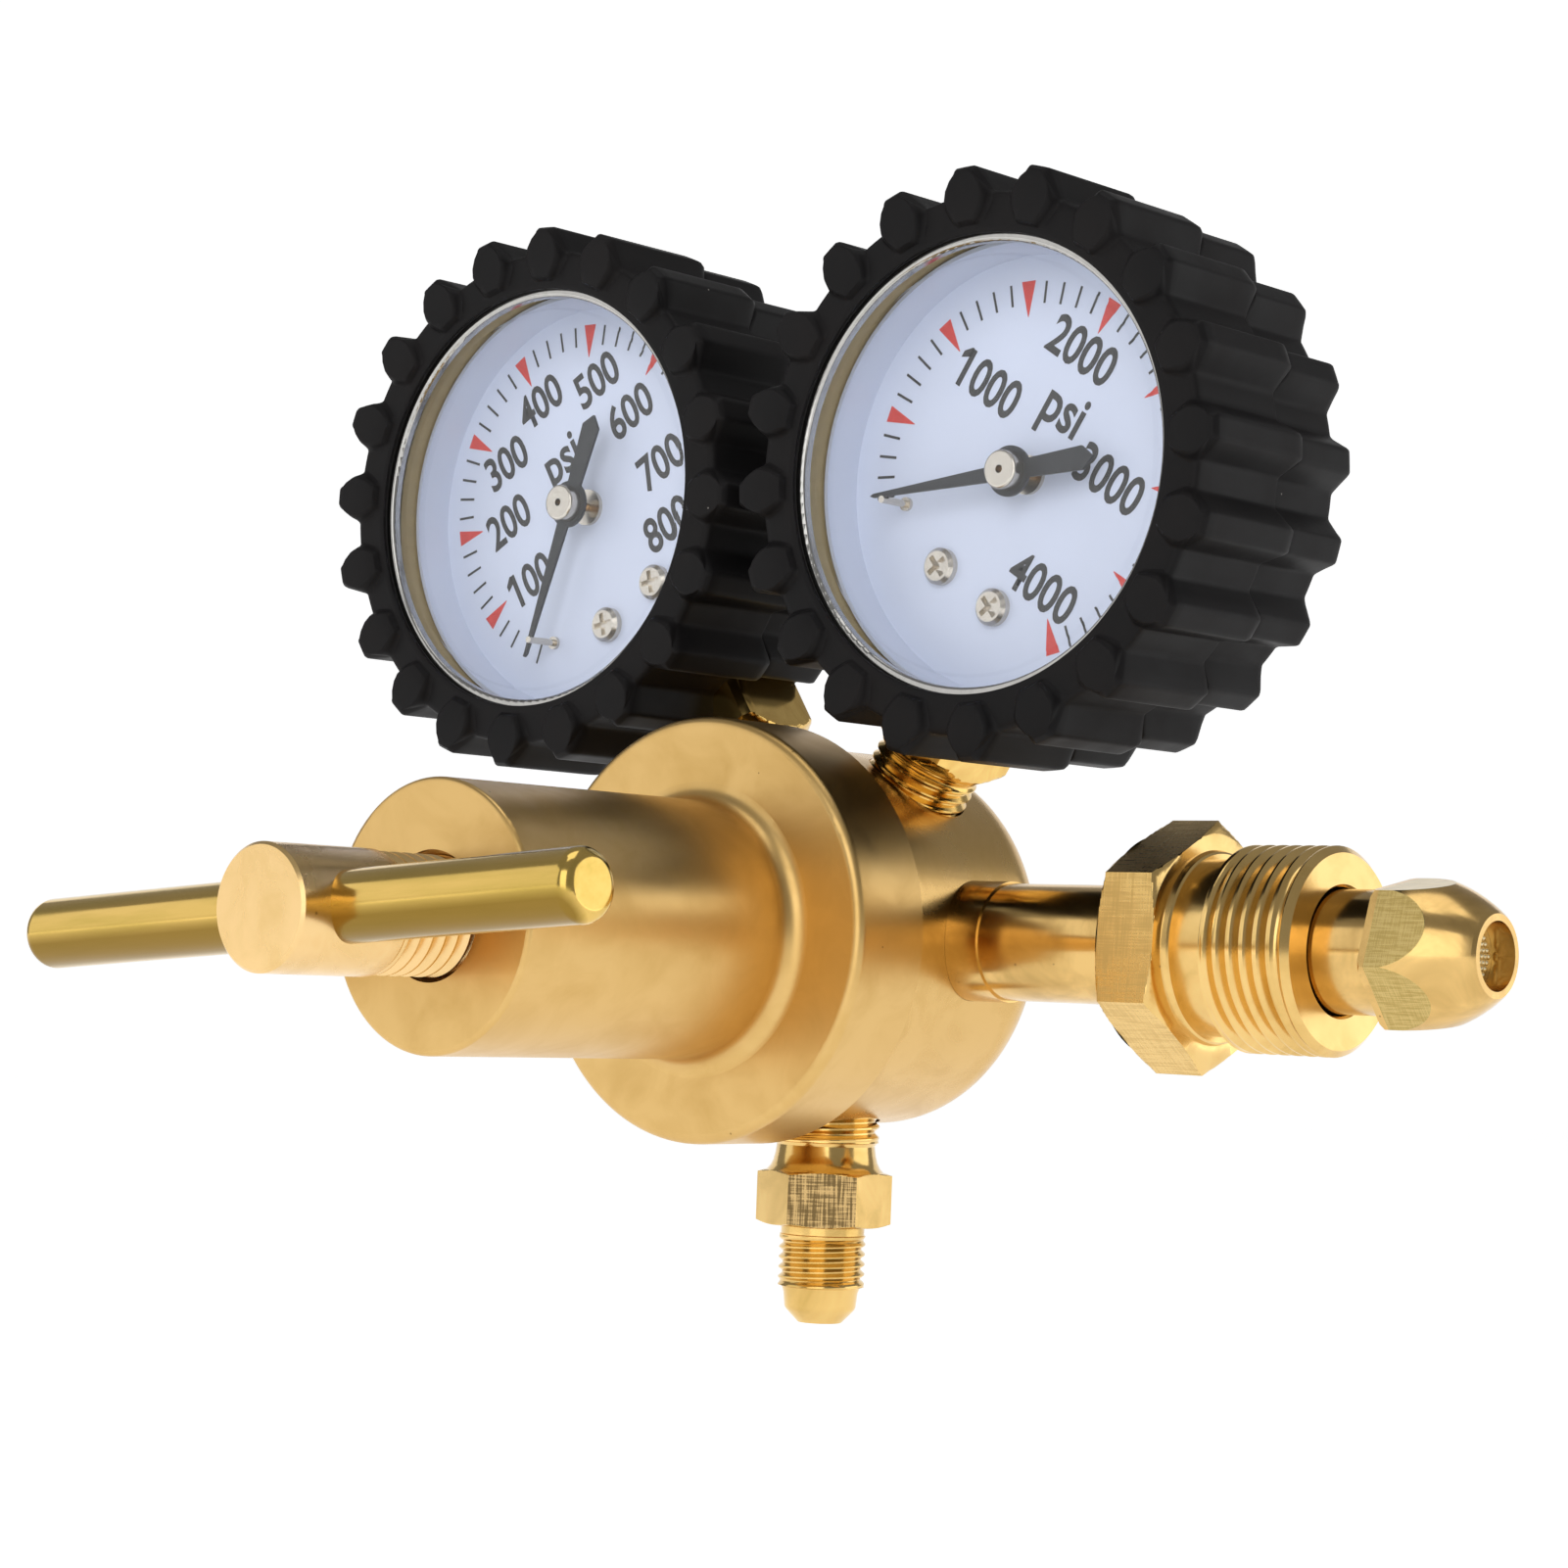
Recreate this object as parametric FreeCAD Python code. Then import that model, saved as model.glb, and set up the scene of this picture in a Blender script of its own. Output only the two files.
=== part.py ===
import FreeCAD, Part
import math
import os

V = FreeCAD.Vector

# Nitrogen pressure regulator. Millimetres, +Z up. The handle points along -Y, the inlet along +X,
# the outlet along -Z, and the two gauges lean left and right of +Z.
# The model is laid out from the crossing of the body axis (Y) and the inlet axis (X),
# and moved at the end so that the origin is the middle of the inlet nut's thread.

# Fits
running_gap = 0.06       # radial, where one piece turns or slides in another
seat_gap = 0.02          # radial, where a piece is pressed or screwed in tight
loose_gap = 0.3          # between a moving piece and what it must not touch

# Body, a turned and rounded brass block
body_dia = 47.8
body_rear_y = 16.4
body_round = 7.5
shoulder_y = -15.0       # where the bonnet's skirt ends
spigot_length = 6.5
spigot_step = 0.7        # radial
chamber_wall = 5.2
low_chamber_depth = 8.5
high_chamber_dia = 12.0
high_chamber_depth = 24.0
port_thread_dia = 13.6
port_web = 0.41          # brass left between the ports of the two gauges
port_end_gap = 0.6
gas_hole_dia = 4.0
link_hole_wall = 1.0

# Bonnet, which holds the spring
bonnet_dia = 31.9
bonnet_wall = 3.4
bonnet_nose = 12.0       # length of the threaded end wall
bonnet_tube = 45.1       # length in front of the rim
bonnet_edge = 0.6
rim_overhang = 2.45      # radial, over the body
rim_length = 12.1
rim_round = 1.2
rim_fillet = 2.3
screw_mouth_gap = 0.6    # radial
screw_mouth_depth = 1.4
screw_mouth_slope = 0.63

# Diaphragm stack
diaphragm_thick = 0.8
slip_ring_thick = 0.5
slip_ring_hole = 26.4
plate_thick = 3.4
plate_boss_dia = 12.4
plate_boss_height = 2.6
boss_edge = 0.6

# Adjusting screw, its cross bar and what it presses
screw_dia = 14.0
screw_stand = 10.0       # bare thread in front of the bonnet
screw_reach = 6.2        # past the bonnet's end wall
head_step = 0.2          # radial, over the thread
head_length = 15.8
head_edge = 0.35
screw_tip_dia = 6.4
screw_tip_length = 3.2
bar_dia = 8.2
bar_from_head = 8.05
bar_left = 46.0
bar_right = 42.2
bar_tilt = 4.6           # degrees, right end up
bar_edge = 1.6
button_thick = 4.0
button_recess = 1.0
button_boss_height = 2.4
spring_wire = 2.6
spring_turns = 4.6
spring_side_gap = 0.5

# Valve
nozzle_flange_step = 1.8
nozzle_flange_thick = 2.4
nozzle_length = 7.0
nozzle_hole_dia = 2.8
nozzle_lip = 0.5
nozzle_lip_base = 1.0
poppet_room = 2.2        # radial, round the poppet
poppet_length = 5.0
poppet_head = 2.5
poppet_pin_dia = 1.8
poppet_spring_wire = 0.8
poppet_spring_turns = 5.0
poppet_guide_gap = 0.6

# Inlet nipple
shank_dia = 14.5
collar_step = 0.25       # radial, over the shank
collar_sink = 2.3        # into the body
collar_length = 7.0
nose_from_nut = 7.3
nose_dia = 18.5
nose_flats = 16.0
nose_flats_turn = -19.0  # degrees
nose_edge = 0.4
nose_straight = 2.6
nose_length = 12.8
nose_waist = (7.7, 8.0)  # (from the nose's back, radius) where the ogive meets the middle of a flat
nose_lip = 1.2
nose_lip_edge = 0.4
filter_dia = 8.0
filter_sink = 3.0
filter_length = 6.0
nipple_bore_dia = 5.0

# Inlet nut
nut_back_x = 50.65
nut_flats = 26.3
nut_hex_length = 7.95
nut_chamfer = 0.4
nut_chamfer_radial = 0.6
nut_relief_step = 1.75   # radial, under the thread
nut_relief_length = 5.7
nut_thread_dia = 24.5
nut_thread_length = 11.8
nut_edge = 0.8
nut_mouth_gap = 0.25
nut_turn = -3.3          # degrees from one corner straight up

# Outlet fitting, lengths down from the body
outlet_end_gap = 1.6
outlet_stand = 2.3       # thread left bare below the body
outlet_collar_dia = 12.4
outlet_collar_length = 3.8
outlet_hex_flats = 15.0
outlet_hex_length = 6.9
outlet_hex_chamfer = 0.7
outlet_neck_step = 0.2
outlet_neck_length = 1.25
flare_thread_dia = 11.11
flare_thread_length = 6.5
flare_shoulder_dia = 9.2
flare_shoulder_length = 2.9
flare_shoulder_slope = 0.8
flare_end_dia = 5.7
outlet_bore_dia = 4.4
outlet_turn = 39.6       # degrees, the way one flat faces

# Gauges. Depths are measured rearward from the front of the bezel
gauge_lean = 33.0
boots_apart = 1.89       # between the two boots' ribs
case_dia = 58.4
case_depth = 29.6
case_wall = 0.9
case_bevel = 1.5
bezel_skirt = 0.4        # radial, over the case
bezel_lap = 2.6          # radial, in over the lens
bezel_depth = 6.0
bezel_wall = 0.7
bezel_edge = 0.8
bezel_inner_edge = 0.5
lens_front = 1.3
lens_thick = 1.8
lens_step_gap = 1.2      # from the bezel's hole in to the lens's raised middle
lens_step = 0.4
dial_rim_gap = 2.7       # behind the lens
dial_rim_lip = 0.5
dial_rim_slope = 0.6
dial_depth = 10.8
dial_thick = 0.5
dial_hole_dia = 2.0
bushing_dia = 4.8
bushing_thick = 0.6

# Stem, block and the screws that hold the dial
stem_square = 14.2
stem_bare_thread = 3.7   # above the body
stem_taper = 2.1
stem_taper_swell = 1.3   # the taper's top over half the square
stem_bore_dia = 3.0
block_width = 16.0
block_rise = 6.4         # from the tube's middle line in to the block's top
block_height = 8.0
block_thick = 7.1
block_setback = 0.55     # block's middle behind the stem's axis
dial_screw_side = 4.9
dial_screw_below = 3.2   # under the block's top
dial_screw_dia = 4.6
dial_screw_head = 1.3
dial_screw_edge = 0.45
dial_screw_shank = 2.4
dial_screw_length = 5.0
dial_screw_end_gap = 0.5
cross_slot_length = 3.0
cross_slot_width = 0.7
cross_slot_turn = 20.0   # degrees
dial_boss_dia = 4.4

# Movement behind the dial
tube_radius = 19.0
tube_wide = 6.4
tube_thick = 2.6
tube_start = 24.0        # degrees from straight down, clockwise
tube_sweep = 244.0
tube_pin_in = 2.4        # from the tube's middle line in to the end piece's pin
end_piece_length = 6.2
end_piece_height = 2.6
end_piece_lap = 1.2
end_piece_below = 0.4
plate_gap = 2.1          # from the dial back to the front plate
plate_metal = 0.8
plates_apart = 3.3
plate_upper = [(-5.5, -4.0), (-5.5, 4.5), (5.0, 4.5), (12.0, -6.5), (12.0, -11.6)]
front_plate_foot = (-1.0, -13.2)
back_plate_step = -9.0
back_plate_lap = 2.0     # over the block
post_dia = 2.0
post_places = [(-4.0, 3.0), (0.7, -12.0)]
arbor_dia = 1.0
gear_module = 0.3
gear_thick = 0.9
gear_gap = 0.9           # behind the front plate
gear_play = 0.04
pinion_teeth = 10
sector_full_teeth = 80
sector_cut_teeth = 11
sector_side = 39.0       # degrees from straight down to the sector's pivot, to the right
sector_rim = 2.2
sector_hub_dia = 4.6
sector_web_half = 2.2
sector_web_spread = 12.0  # degrees
sector_end_margin = 1.0  # degrees
tail_length = 6.0
tail_half = 1.1
tail_angle = 12.0        # degrees
link_thick = 0.5
link_half = 0.7
link_eye_dia = 1.8
link_pin_dia = 0.8
link_pin_out = 0.4
hair_turns = 4.0
hair_outer = 3.6
hair_inner = 1.2
hair_strip = 0.15
hair_width = 0.6
hair_gap = 0.12

# Pointer
hub_dia = 6.2
cap_dia = 4.8
cap_round = 0.4
cap_hole_dia = 1.0
cap_height = 1.95
pointer_lift = 4.15      # in front of the dial
pointer_thick = 0.4
pointer_reach = 21.4
pointer_point = 0.5
needle_root_half = 1.0
needle_tip_half = 0.25
tail_reach = 12.3
tail_shoulder = 10.8
tail_root_half = 1.1
tail_end_half = 1.47
foot_root_dia = 2.8
foot_end_dia = 2.4
foot_length = 1.6
rest_angle = 6.9         # degrees from the dial's first mark to the pointer's rest
sweep_angle = 270.0
stop_pin_dia = 0.9
stop_pin_gap = 0.05
stop_pin_in = 2.6        # from the pointer's tip in to the pin
stop_pin_height = 5.2
stop_pin_collar_dia = 1.7
stop_pin_collar = 0.5

# Rubber boots
rib_count = 20
boot_lip_thick = 1.0     # in front of the bezel
boot_lip_edge = 0.3
boot_lip_lap = 2.1       # radial, in over the bezel
boot_wall = 2.9
boot_edge = 0.8
boot_back_thick = 0.8
boot_back_edge = 1.5
boot_rear_step = 1.0     # radial
boot_step = 15.6
boot_back_margin = 9.2   # radial, from the case in to the hole in the boot's back
stem_hole_gap = 0.5
rib_rise = 3.1
rib_rear_rise = 2.9
rib_knob_rise = 1.3
rib_knob_edge = 0.7
rib_half_base = 3.3
rib_half_top = 1.5
rib_sink = 0.4           # from the bezel out to the ribs' inner faces
rib_overlap = 1.4        # how far the front ribs run past the step
rib_front_slope = 2.4
rib_rear_slope = 1.6
rib_end_shrink = 1.2
rib_rear_end_gap = 0.6
rib_rear_lap = 1.0

# Places that follow from the sizes above, along Y
body_face_y = shoulder_y - spigot_length
plate_back_y = body_face_y - diaphragm_thick
plate_front_y = plate_back_y - plate_thick
rim_front_y = shoulder_y - rim_length
bonnet_front_y = rim_front_y - bonnet_tube
bonnet_wall_y = bonnet_front_y + bonnet_nose
neck_y = bonnet_front_y - screw_stand
head_front_y = neck_y - head_length
bar_y = head_front_y + bar_from_head
screw_end_y = bonnet_wall_y + screw_reach
button_front_y = screw_end_y - button_recess
button_back_y = button_front_y + button_thick
low_floor_y = body_face_y + low_chamber_depth
high_floor_y = body_face_y + high_chamber_depth
nozzle_front_y = low_floor_y - nozzle_flange_thick
nozzle_back_y = low_floor_y + nozzle_length
poppet_shelf_y = nozzle_back_y + poppet_head
poppet_back_y = nozzle_back_y + poppet_length

# Sizes across
spigot_dia = body_dia - 2 * spigot_step
rim_dia = body_dia + 2 * rim_overhang
low_chamber_dia = spigot_dia - 2 * chamber_wall
spring_bore = bonnet_dia / 2 - bonnet_wall
slider_radius = spring_bore - running_gap
spring_radius = spring_bore - spring_side_gap - spring_wire / 2
head_dia = screw_dia + 2 * head_step
collar_dia = shank_dia + 2 * collar_step
poppet_dia = high_chamber_dia - 2 * poppet_room
port_floor = port_thread_dia / 2 / math.sin(math.radians(gauge_lean)) + port_web
port_end = port_floor + port_end_gap

# Places along X, out through the inlet
collar_x = body_dia / 2 - collar_sink
collar_end_x = collar_x + collar_length
nut_relief_x = nut_back_x + nut_hex_length
nut_thread_x = nut_relief_x + nut_relief_length
nut_end_x = nut_thread_x + nut_thread_length
nose_back_x = nut_end_x + nose_from_nut
nose_tip_x = nose_back_x + nose_length
filter_front_x = nose_tip_x - filter_sink
filter_back_x = filter_front_x - filter_length

# Sizes of a gauge, from its case outwards and inwards
bezel_dia = case_dia + 2 * bezel_skirt
bezel_hole_dia = bezel_dia - 2 * (bezel_skirt + bezel_lap)
lens_back = lens_front + lens_thick
dial_rim_front = lens_back + dial_rim_gap
dial_rim_dia = case_dia - 2 * (case_wall + loose_gap)
dial_flat_dia = dial_rim_dia - 2 * (dial_rim_lip + dial_rim_slope)
pointer_depth = dial_depth - pointer_lift
cap_front = pointer_depth - cap_height
front_plate_depth = dial_depth + dial_thick + plate_gap
gear_depth = front_plate_depth + plate_metal + gear_gap
back_plate_depth = front_plate_depth + plate_metal + plates_apart
block_front = back_plate_depth + plate_metal
block_back = block_front + block_thick
gauge_front_y = block_setback - (block_front + block_back) / 2
block_top = tube_radius - block_rise
block_bottom = block_top + block_height
dial_screw_drop = block_top + dial_screw_below
stop_pin_radius = pointer_reach - stop_pin_in
boot_depth = case_depth + boot_back_thick
boot_dia = bezel_dia + 2 * boot_wall
boot_rear_dia = boot_dia - 2 * boot_rear_step
rib_top_dia = boot_dia + 2 * rib_rise
rib_rear_dia = boot_rear_dia + 2 * rib_rear_rise
gauge_reach = (rib_top_dia + boots_apart) / 2 / math.sin(math.radians(gauge_lean))
stem_taper_start = body_dia / 2 + stem_bare_thread
stem_square_start = stem_taper_start + stem_taper
block_bottom_z = gauge_reach - block_bottom
block_top_z = gauge_reach - block_top

GAUGES = [("low", -gauge_lean), ("high", gauge_lean)]
ALONG = {"x": V(1, 0, 0), "y": V(0, 1, 0), "up": V(0, 0, 1), "down": V(0, 0, -1)}
SIDES = (-1, 1)
HEX = 6
origin_shift = V(-(nut_thread_x + nut_thread_length / 2), 0, 0)


def save(name, shape):
    """Move a finished piece to the row's frame and write it."""
    piece = shape.copy()
    piece.translate(origin_shift)
    piece.exportStep("parts/" + name + ".step")
    print(name, "volume", round(piece.Volume, 1), "valid", piece.isValid(), "solids", len(piece.Solids))


# Shared forms

def outline(steps):
    """A closed face from (along, radius) corners; a nested pair is an arc through its first point."""
    edges = []
    first = V(steps[0][0], steps[0][1], 0)
    last = first
    for step in steps[1:]:
        if isinstance(step[0], tuple):
            middle = V(step[0][0], step[0][1], 0)
            end = V(step[1][0], step[1][1], 0)
            edges.append(Part.Arc(last, middle, end).toShape())
        else:
            end = V(step[0], step[1], 0)
            edges.append(Part.LineSegment(last, end).toShape())
        last = end
    edges.append(Part.LineSegment(last, first).toShape())
    return Part.Face(Part.Wire(edges))


def turned(steps, way):
    """A turned piece: the outline spun about the axis that points the given way."""
    solid = outline(steps).revolve(V(0, 0, 0), V(1, 0, 0), 360)
    solid.Placement = FreeCAD.Placement(V(0, 0, 0), FreeCAD.Rotation(V(1, 0, 0), ALONG[way]))
    return Part.Solid(solid.Solids[0])


def rod(radius, start, end, way):
    return Part.makeCylinder(radius, end - start, ALONG[way] * start, ALONG[way])


def rounded(center, radius, start, end):
    """The middle point of a quarter-circle arc between two angles in degrees."""
    angle = math.radians((start + end) / 2)
    return (center[0] + radius * math.cos(angle), center[1] + radius * math.sin(angle))


def corner_radius(flats):
    """From the axis to a corner of a hexagon."""
    return flats / math.sqrt(3)


def hexagon(flats, start, end, way, turn=0.0):
    """A hexagonal bar along an axis, turned about it by an angle in degrees."""
    corner = corner_radius(flats)
    angles = [math.radians(360 * i / HEX) for i in range(HEX + 1)]
    points = [V(start, corner * math.sin(angle), corner * math.cos(angle)) for angle in angles]
    bar = Part.Face(Part.makePolygon(points)).extrude(V(end - start, 0, 0))
    bar.rotate(V(0, 0, 0), V(1, 0, 0), turn)
    facing = FreeCAD.Placement(V(0, 0, 0), FreeCAD.Rotation(V(1, 0, 0), ALONG[way]))
    bar.Placement = facing.multiply(bar.Placement)
    return bar


def lean(shape, angle):
    """Turn a piece that was laid out on +Z about the body axis, clockwise seen from the handle."""
    piece = shape.copy()
    piece.rotate(V(0, 0, 0), V(0, 1, 0), angle)
    return piece


def coil(radius, wire, length, turns):
    """An open coil spring along +Z from 0 to length, its ends cut flat."""
    rise = (length - wire) / turns
    helix = Part.makeHelix(rise, length - wire, radius)
    helix.translate(V(0, 0, wire / 2))
    half = wire / 2
    angles = [math.radians(360 * i / HEX) for i in range(HEX + 1)]
    section = Part.makePolygon([V(radius + half * math.cos(a), 0, half + half * math.sin(a)) for a in angles])
    pipe = Part.Wire(helix).makePipeShell([section], True, True)
    return pipe.common(Part.makeCylinder(radius + wire, length))


def spring_on_axis(radius, wire, start_y, end_y, turns):
    spring = coil(radius, wire, end_y - start_y, turns)
    spring.rotate(V(0, 0, 0), V(1, 0, 0), -90)
    spring.translate(V(0, start_y, 0))
    return spring


# Body and bonnet

def port_cutter(angle):
    """Threaded pocket for a gauge, the outlet or the inlet, laid out on +Z and leaned."""
    return lean(rod(port_thread_dia / 2 + seat_gap, port_floor, body_dia, "up"), angle)


def gas_way(angle, side):
    """Drilled hole from a pocket to the high chamber, or forward to the low chamber."""
    radius = gas_hole_dia / 2
    if side == "high":
        hole = rod(radius, 0, body_dia / 2, "up")
    else:
        across = low_chamber_dia / 2 - radius - link_hole_wall
        hole = rod(radius, body_face_y, 0, "y")
        hole.translate(V(0, 0, across))
    return lean(hole, angle)


def make_body():
    straight_y = body_rear_y - body_round
    inner = body_dia / 2 - body_round
    block = turned([
        (body_face_y, 0), (body_face_y, spigot_dia / 2), (shoulder_y, spigot_dia / 2),
        (shoulder_y, body_dia / 2), (straight_y, body_dia / 2),
        (rounded((straight_y, inner), body_round, 0, 90), (body_rear_y, inner)),
        (body_rear_y, 0)], "y")
    cuts = [rod(low_chamber_dia / 2, body_face_y, low_floor_y, "y"),
            rod(high_chamber_dia / 2, body_face_y, high_floor_y, "y"),
            rod(collar_dia / 2 + seat_gap, collar_x, body_dia, "x")]
    for angle, side in ((-gauge_lean, "low"), (gauge_lean, "high"), (180, "low"), (90, "high")):
        cuts += [port_cutter(angle), gas_way(angle, side)]
    for cut in cuts:
        block = block.cut(cut)
    return block


def make_bonnet():
    outer = bonnet_dia / 2
    rim = rim_dia / 2
    skirt = spigot_dia / 2 + running_gap
    bore = screw_dia / 2 + running_gap
    mouth = screw_dia / 2 + screw_mouth_gap
    stack_y = plate_back_y - slip_ring_thick
    edge_y = bonnet_front_y + bonnet_edge
    fillet_y = rim_front_y - rim_fillet
    round_y = rim_front_y + rim_round
    return turned([
        (bonnet_front_y, mouth), (bonnet_front_y, outer - bonnet_edge),
        (rounded((edge_y, outer - bonnet_edge), bonnet_edge, 180, 90), (edge_y, outer)),
        (fillet_y, outer),
        (rounded((fillet_y, outer + rim_fillet), rim_fillet, -90, 0), (rim_front_y, outer + rim_fillet)),
        (rim_front_y, rim - rim_round),
        (rounded((round_y, rim - rim_round), rim_round, 180, 90), (round_y, rim)),
        (shoulder_y, rim), (shoulder_y, skirt), (stack_y, skirt), (stack_y, spring_bore),
        (bonnet_wall_y, spring_bore), (bonnet_wall_y, bore),
        (bonnet_front_y + screw_mouth_depth, bore),
        (bonnet_front_y + screw_mouth_depth - screw_mouth_slope, mouth)], "y")


# Diaphragm stack, spring and screw

def make_diaphragm():
    return rod(spigot_dia / 2 - loose_gap, plate_back_y, body_face_y, "y")


def make_slip_ring():
    front = plate_back_y - slip_ring_thick
    ring = rod(spigot_dia / 2 - loose_gap, front, plate_back_y, "y")
    return ring.cut(rod(slip_ring_hole / 2, front, plate_back_y, "y"))


def make_diaphragm_plate():
    boss_y = plate_front_y - plate_boss_height
    boss = plate_boss_dia / 2
    return turned([
        (boss_y, 0), (boss_y, boss - boss_edge), (boss_y + boss_edge, boss), (plate_front_y, boss),
        (plate_front_y, slider_radius), (plate_back_y, slider_radius), (plate_back_y, 0)], "y")


def make_spring_button():
    recess = screw_tip_dia / 2 + loose_gap
    boss_y = button_back_y + button_boss_height
    boss = plate_boss_dia / 2
    return turned([
        (screw_end_y, 0), (screw_end_y, recess), (button_front_y, recess),
        (button_front_y, slider_radius), (button_back_y, slider_radius), (button_back_y, boss),
        (boss_y - boss_edge, boss), (boss_y, boss - boss_edge), (boss_y, 0)], "y")


def make_adjusting_spring():
    return spring_on_axis(spring_radius, spring_wire, button_back_y, plate_front_y, spring_turns)


def tilt_to_bar(shape):
    """Tilt a piece laid out on X about the screw's axis and move it to the cross bar's place."""
    shape.rotate(V(0, 0, 0), V(0, 1, 0), -bar_tilt)
    shape.translate(V(0, bar_y, 0))
    return shape


def make_adjusting_screw():
    tip_y = screw_end_y - screw_tip_length
    slope = (screw_dia - screw_tip_dia) / 2
    screw = turned([
        (head_front_y, 0), (head_front_y, head_dia / 2 - head_edge),
        (head_front_y + head_edge, head_dia / 2), (neck_y, head_dia / 2),
        (neck_y, screw_dia / 2), (tip_y - slope, screw_dia / 2),
        (tip_y, screw_tip_dia / 2), (screw_end_y, screw_tip_dia / 2), (screw_end_y, 0)], "y")
    return screw.cut(tilt_to_bar(rod(bar_dia / 2 + seat_gap, -head_dia, head_dia, "x")))


def make_t_bar():
    inner = bar_dia / 2 - bar_edge
    left_x = bar_edge - bar_left
    right_x = bar_right - bar_edge
    return tilt_to_bar(turned([
        (-bar_left, 0), (-bar_left, inner),
        (rounded((left_x, inner), bar_edge, 180, 90), (left_x, bar_dia / 2)),
        (right_x, bar_dia / 2),
        (rounded((right_x, inner), bar_edge, 90, 0), (bar_right, inner)),
        (bar_right, 0)], "x"))


# Valve

def make_valve_nozzle():
    hole = nozzle_hole_dia / 2
    spigot = high_chamber_dia / 2 - seat_gap
    flange = high_chamber_dia / 2 + nozzle_flange_step
    lip_y = nozzle_back_y - nozzle_lip
    return turned([
        (nozzle_front_y, hole), (nozzle_front_y, flange - nozzle_lip), (nozzle_front_y + nozzle_lip, flange),
        (low_floor_y, flange), (low_floor_y, spigot), (lip_y, spigot),
        (lip_y, hole + nozzle_lip_base), (nozzle_back_y, hole + nozzle_lip), (nozzle_back_y, hole)], "y")


def make_valve_poppet():
    pin = poppet_pin_dia / 2
    guide = poppet_dia / 2 - poppet_spring_wire - poppet_guide_gap
    return turned([
        (body_face_y, 0), (body_face_y, pin), (nozzle_back_y, pin), (nozzle_back_y, poppet_dia / 2),
        (poppet_shelf_y, poppet_dia / 2), (poppet_shelf_y, guide), (poppet_back_y, guide),
        (poppet_back_y, 0)], "y")


def make_poppet_spring():
    radius = (poppet_dia - poppet_spring_wire) / 2
    return spring_on_axis(radius, poppet_spring_wire, poppet_shelf_y, high_floor_y, poppet_spring_turns)


# Inlet

def make_inlet_nipple():
    """Threaded root, collar, shank and the round nose with six flats that run out on it."""
    bore = nipple_bore_dia / 2
    root = port_thread_dia / 2
    nose = nose_dia / 2
    lip = filter_dia / 2 + nose_lip
    straight_x = nose_back_x + nose_straight
    waist = (nose_back_x + nose_waist[0], nose_waist[1])
    body = turned([
        (port_end, bore), (port_end, root), (collar_x, root), (collar_x, collar_dia / 2),
        (collar_end_x, collar_dia / 2), (collar_end_x, shank_dia / 2), (nose_back_x, shank_dia / 2),
        (nose_back_x, nose - nose_edge), (nose_back_x + nose_edge, nose), (straight_x, nose),
        (waist, (nose_tip_x - nose_lip_edge, lip)), (nose_tip_x, lip - nose_lip_edge),
        (nose_tip_x, filter_dia / 2), (filter_back_x, filter_dia / 2), (filter_back_x, bore)], "x")
    waste = rod(nose_dia, nose_back_x, nose_tip_x, "x")
    return body.cut(waste.cut(hexagon(nose_flats, nose_back_x, nose_tip_x, "x", nose_flats_turn)))


def make_inlet_filter():
    return rod(filter_dia / 2 - seat_gap, filter_back_x, filter_front_x, "x")


def make_inlet_nut():
    bore = shank_dia / 2 + running_gap
    mouth = shank_dia / 2 + nut_mouth_gap
    thread = nut_thread_dia / 2
    relief = thread - nut_relief_step
    stem = turned([
        (nut_relief_x, bore), (nut_relief_x, relief), (nut_thread_x - nut_edge, relief),
        (nut_thread_x, thread), (nut_end_x - nut_edge, thread), (nut_end_x, thread - nut_edge),
        (nut_end_x, mouth), (nut_relief_x, mouth)], "x")
    head = hexagon(nut_flats, nut_back_x, nut_relief_x, "x", -nut_turn)
    head = head.cut(rod(bore, nut_back_x, nut_relief_x, "x"))
    corner = corner_radius(nut_flats) + seat_gap
    crown = turned([
        (nut_back_x, 0), (nut_back_x, corner - nut_chamfer_radial), (nut_back_x + nut_chamfer, corner),
        (nut_relief_x - nut_chamfer, corner), (nut_relief_x, corner - nut_chamfer_radial),
        (nut_relief_x, 0)], "x")
    return head.common(crown).fuse(stem).removeSplitter()


# Outlet

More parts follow.
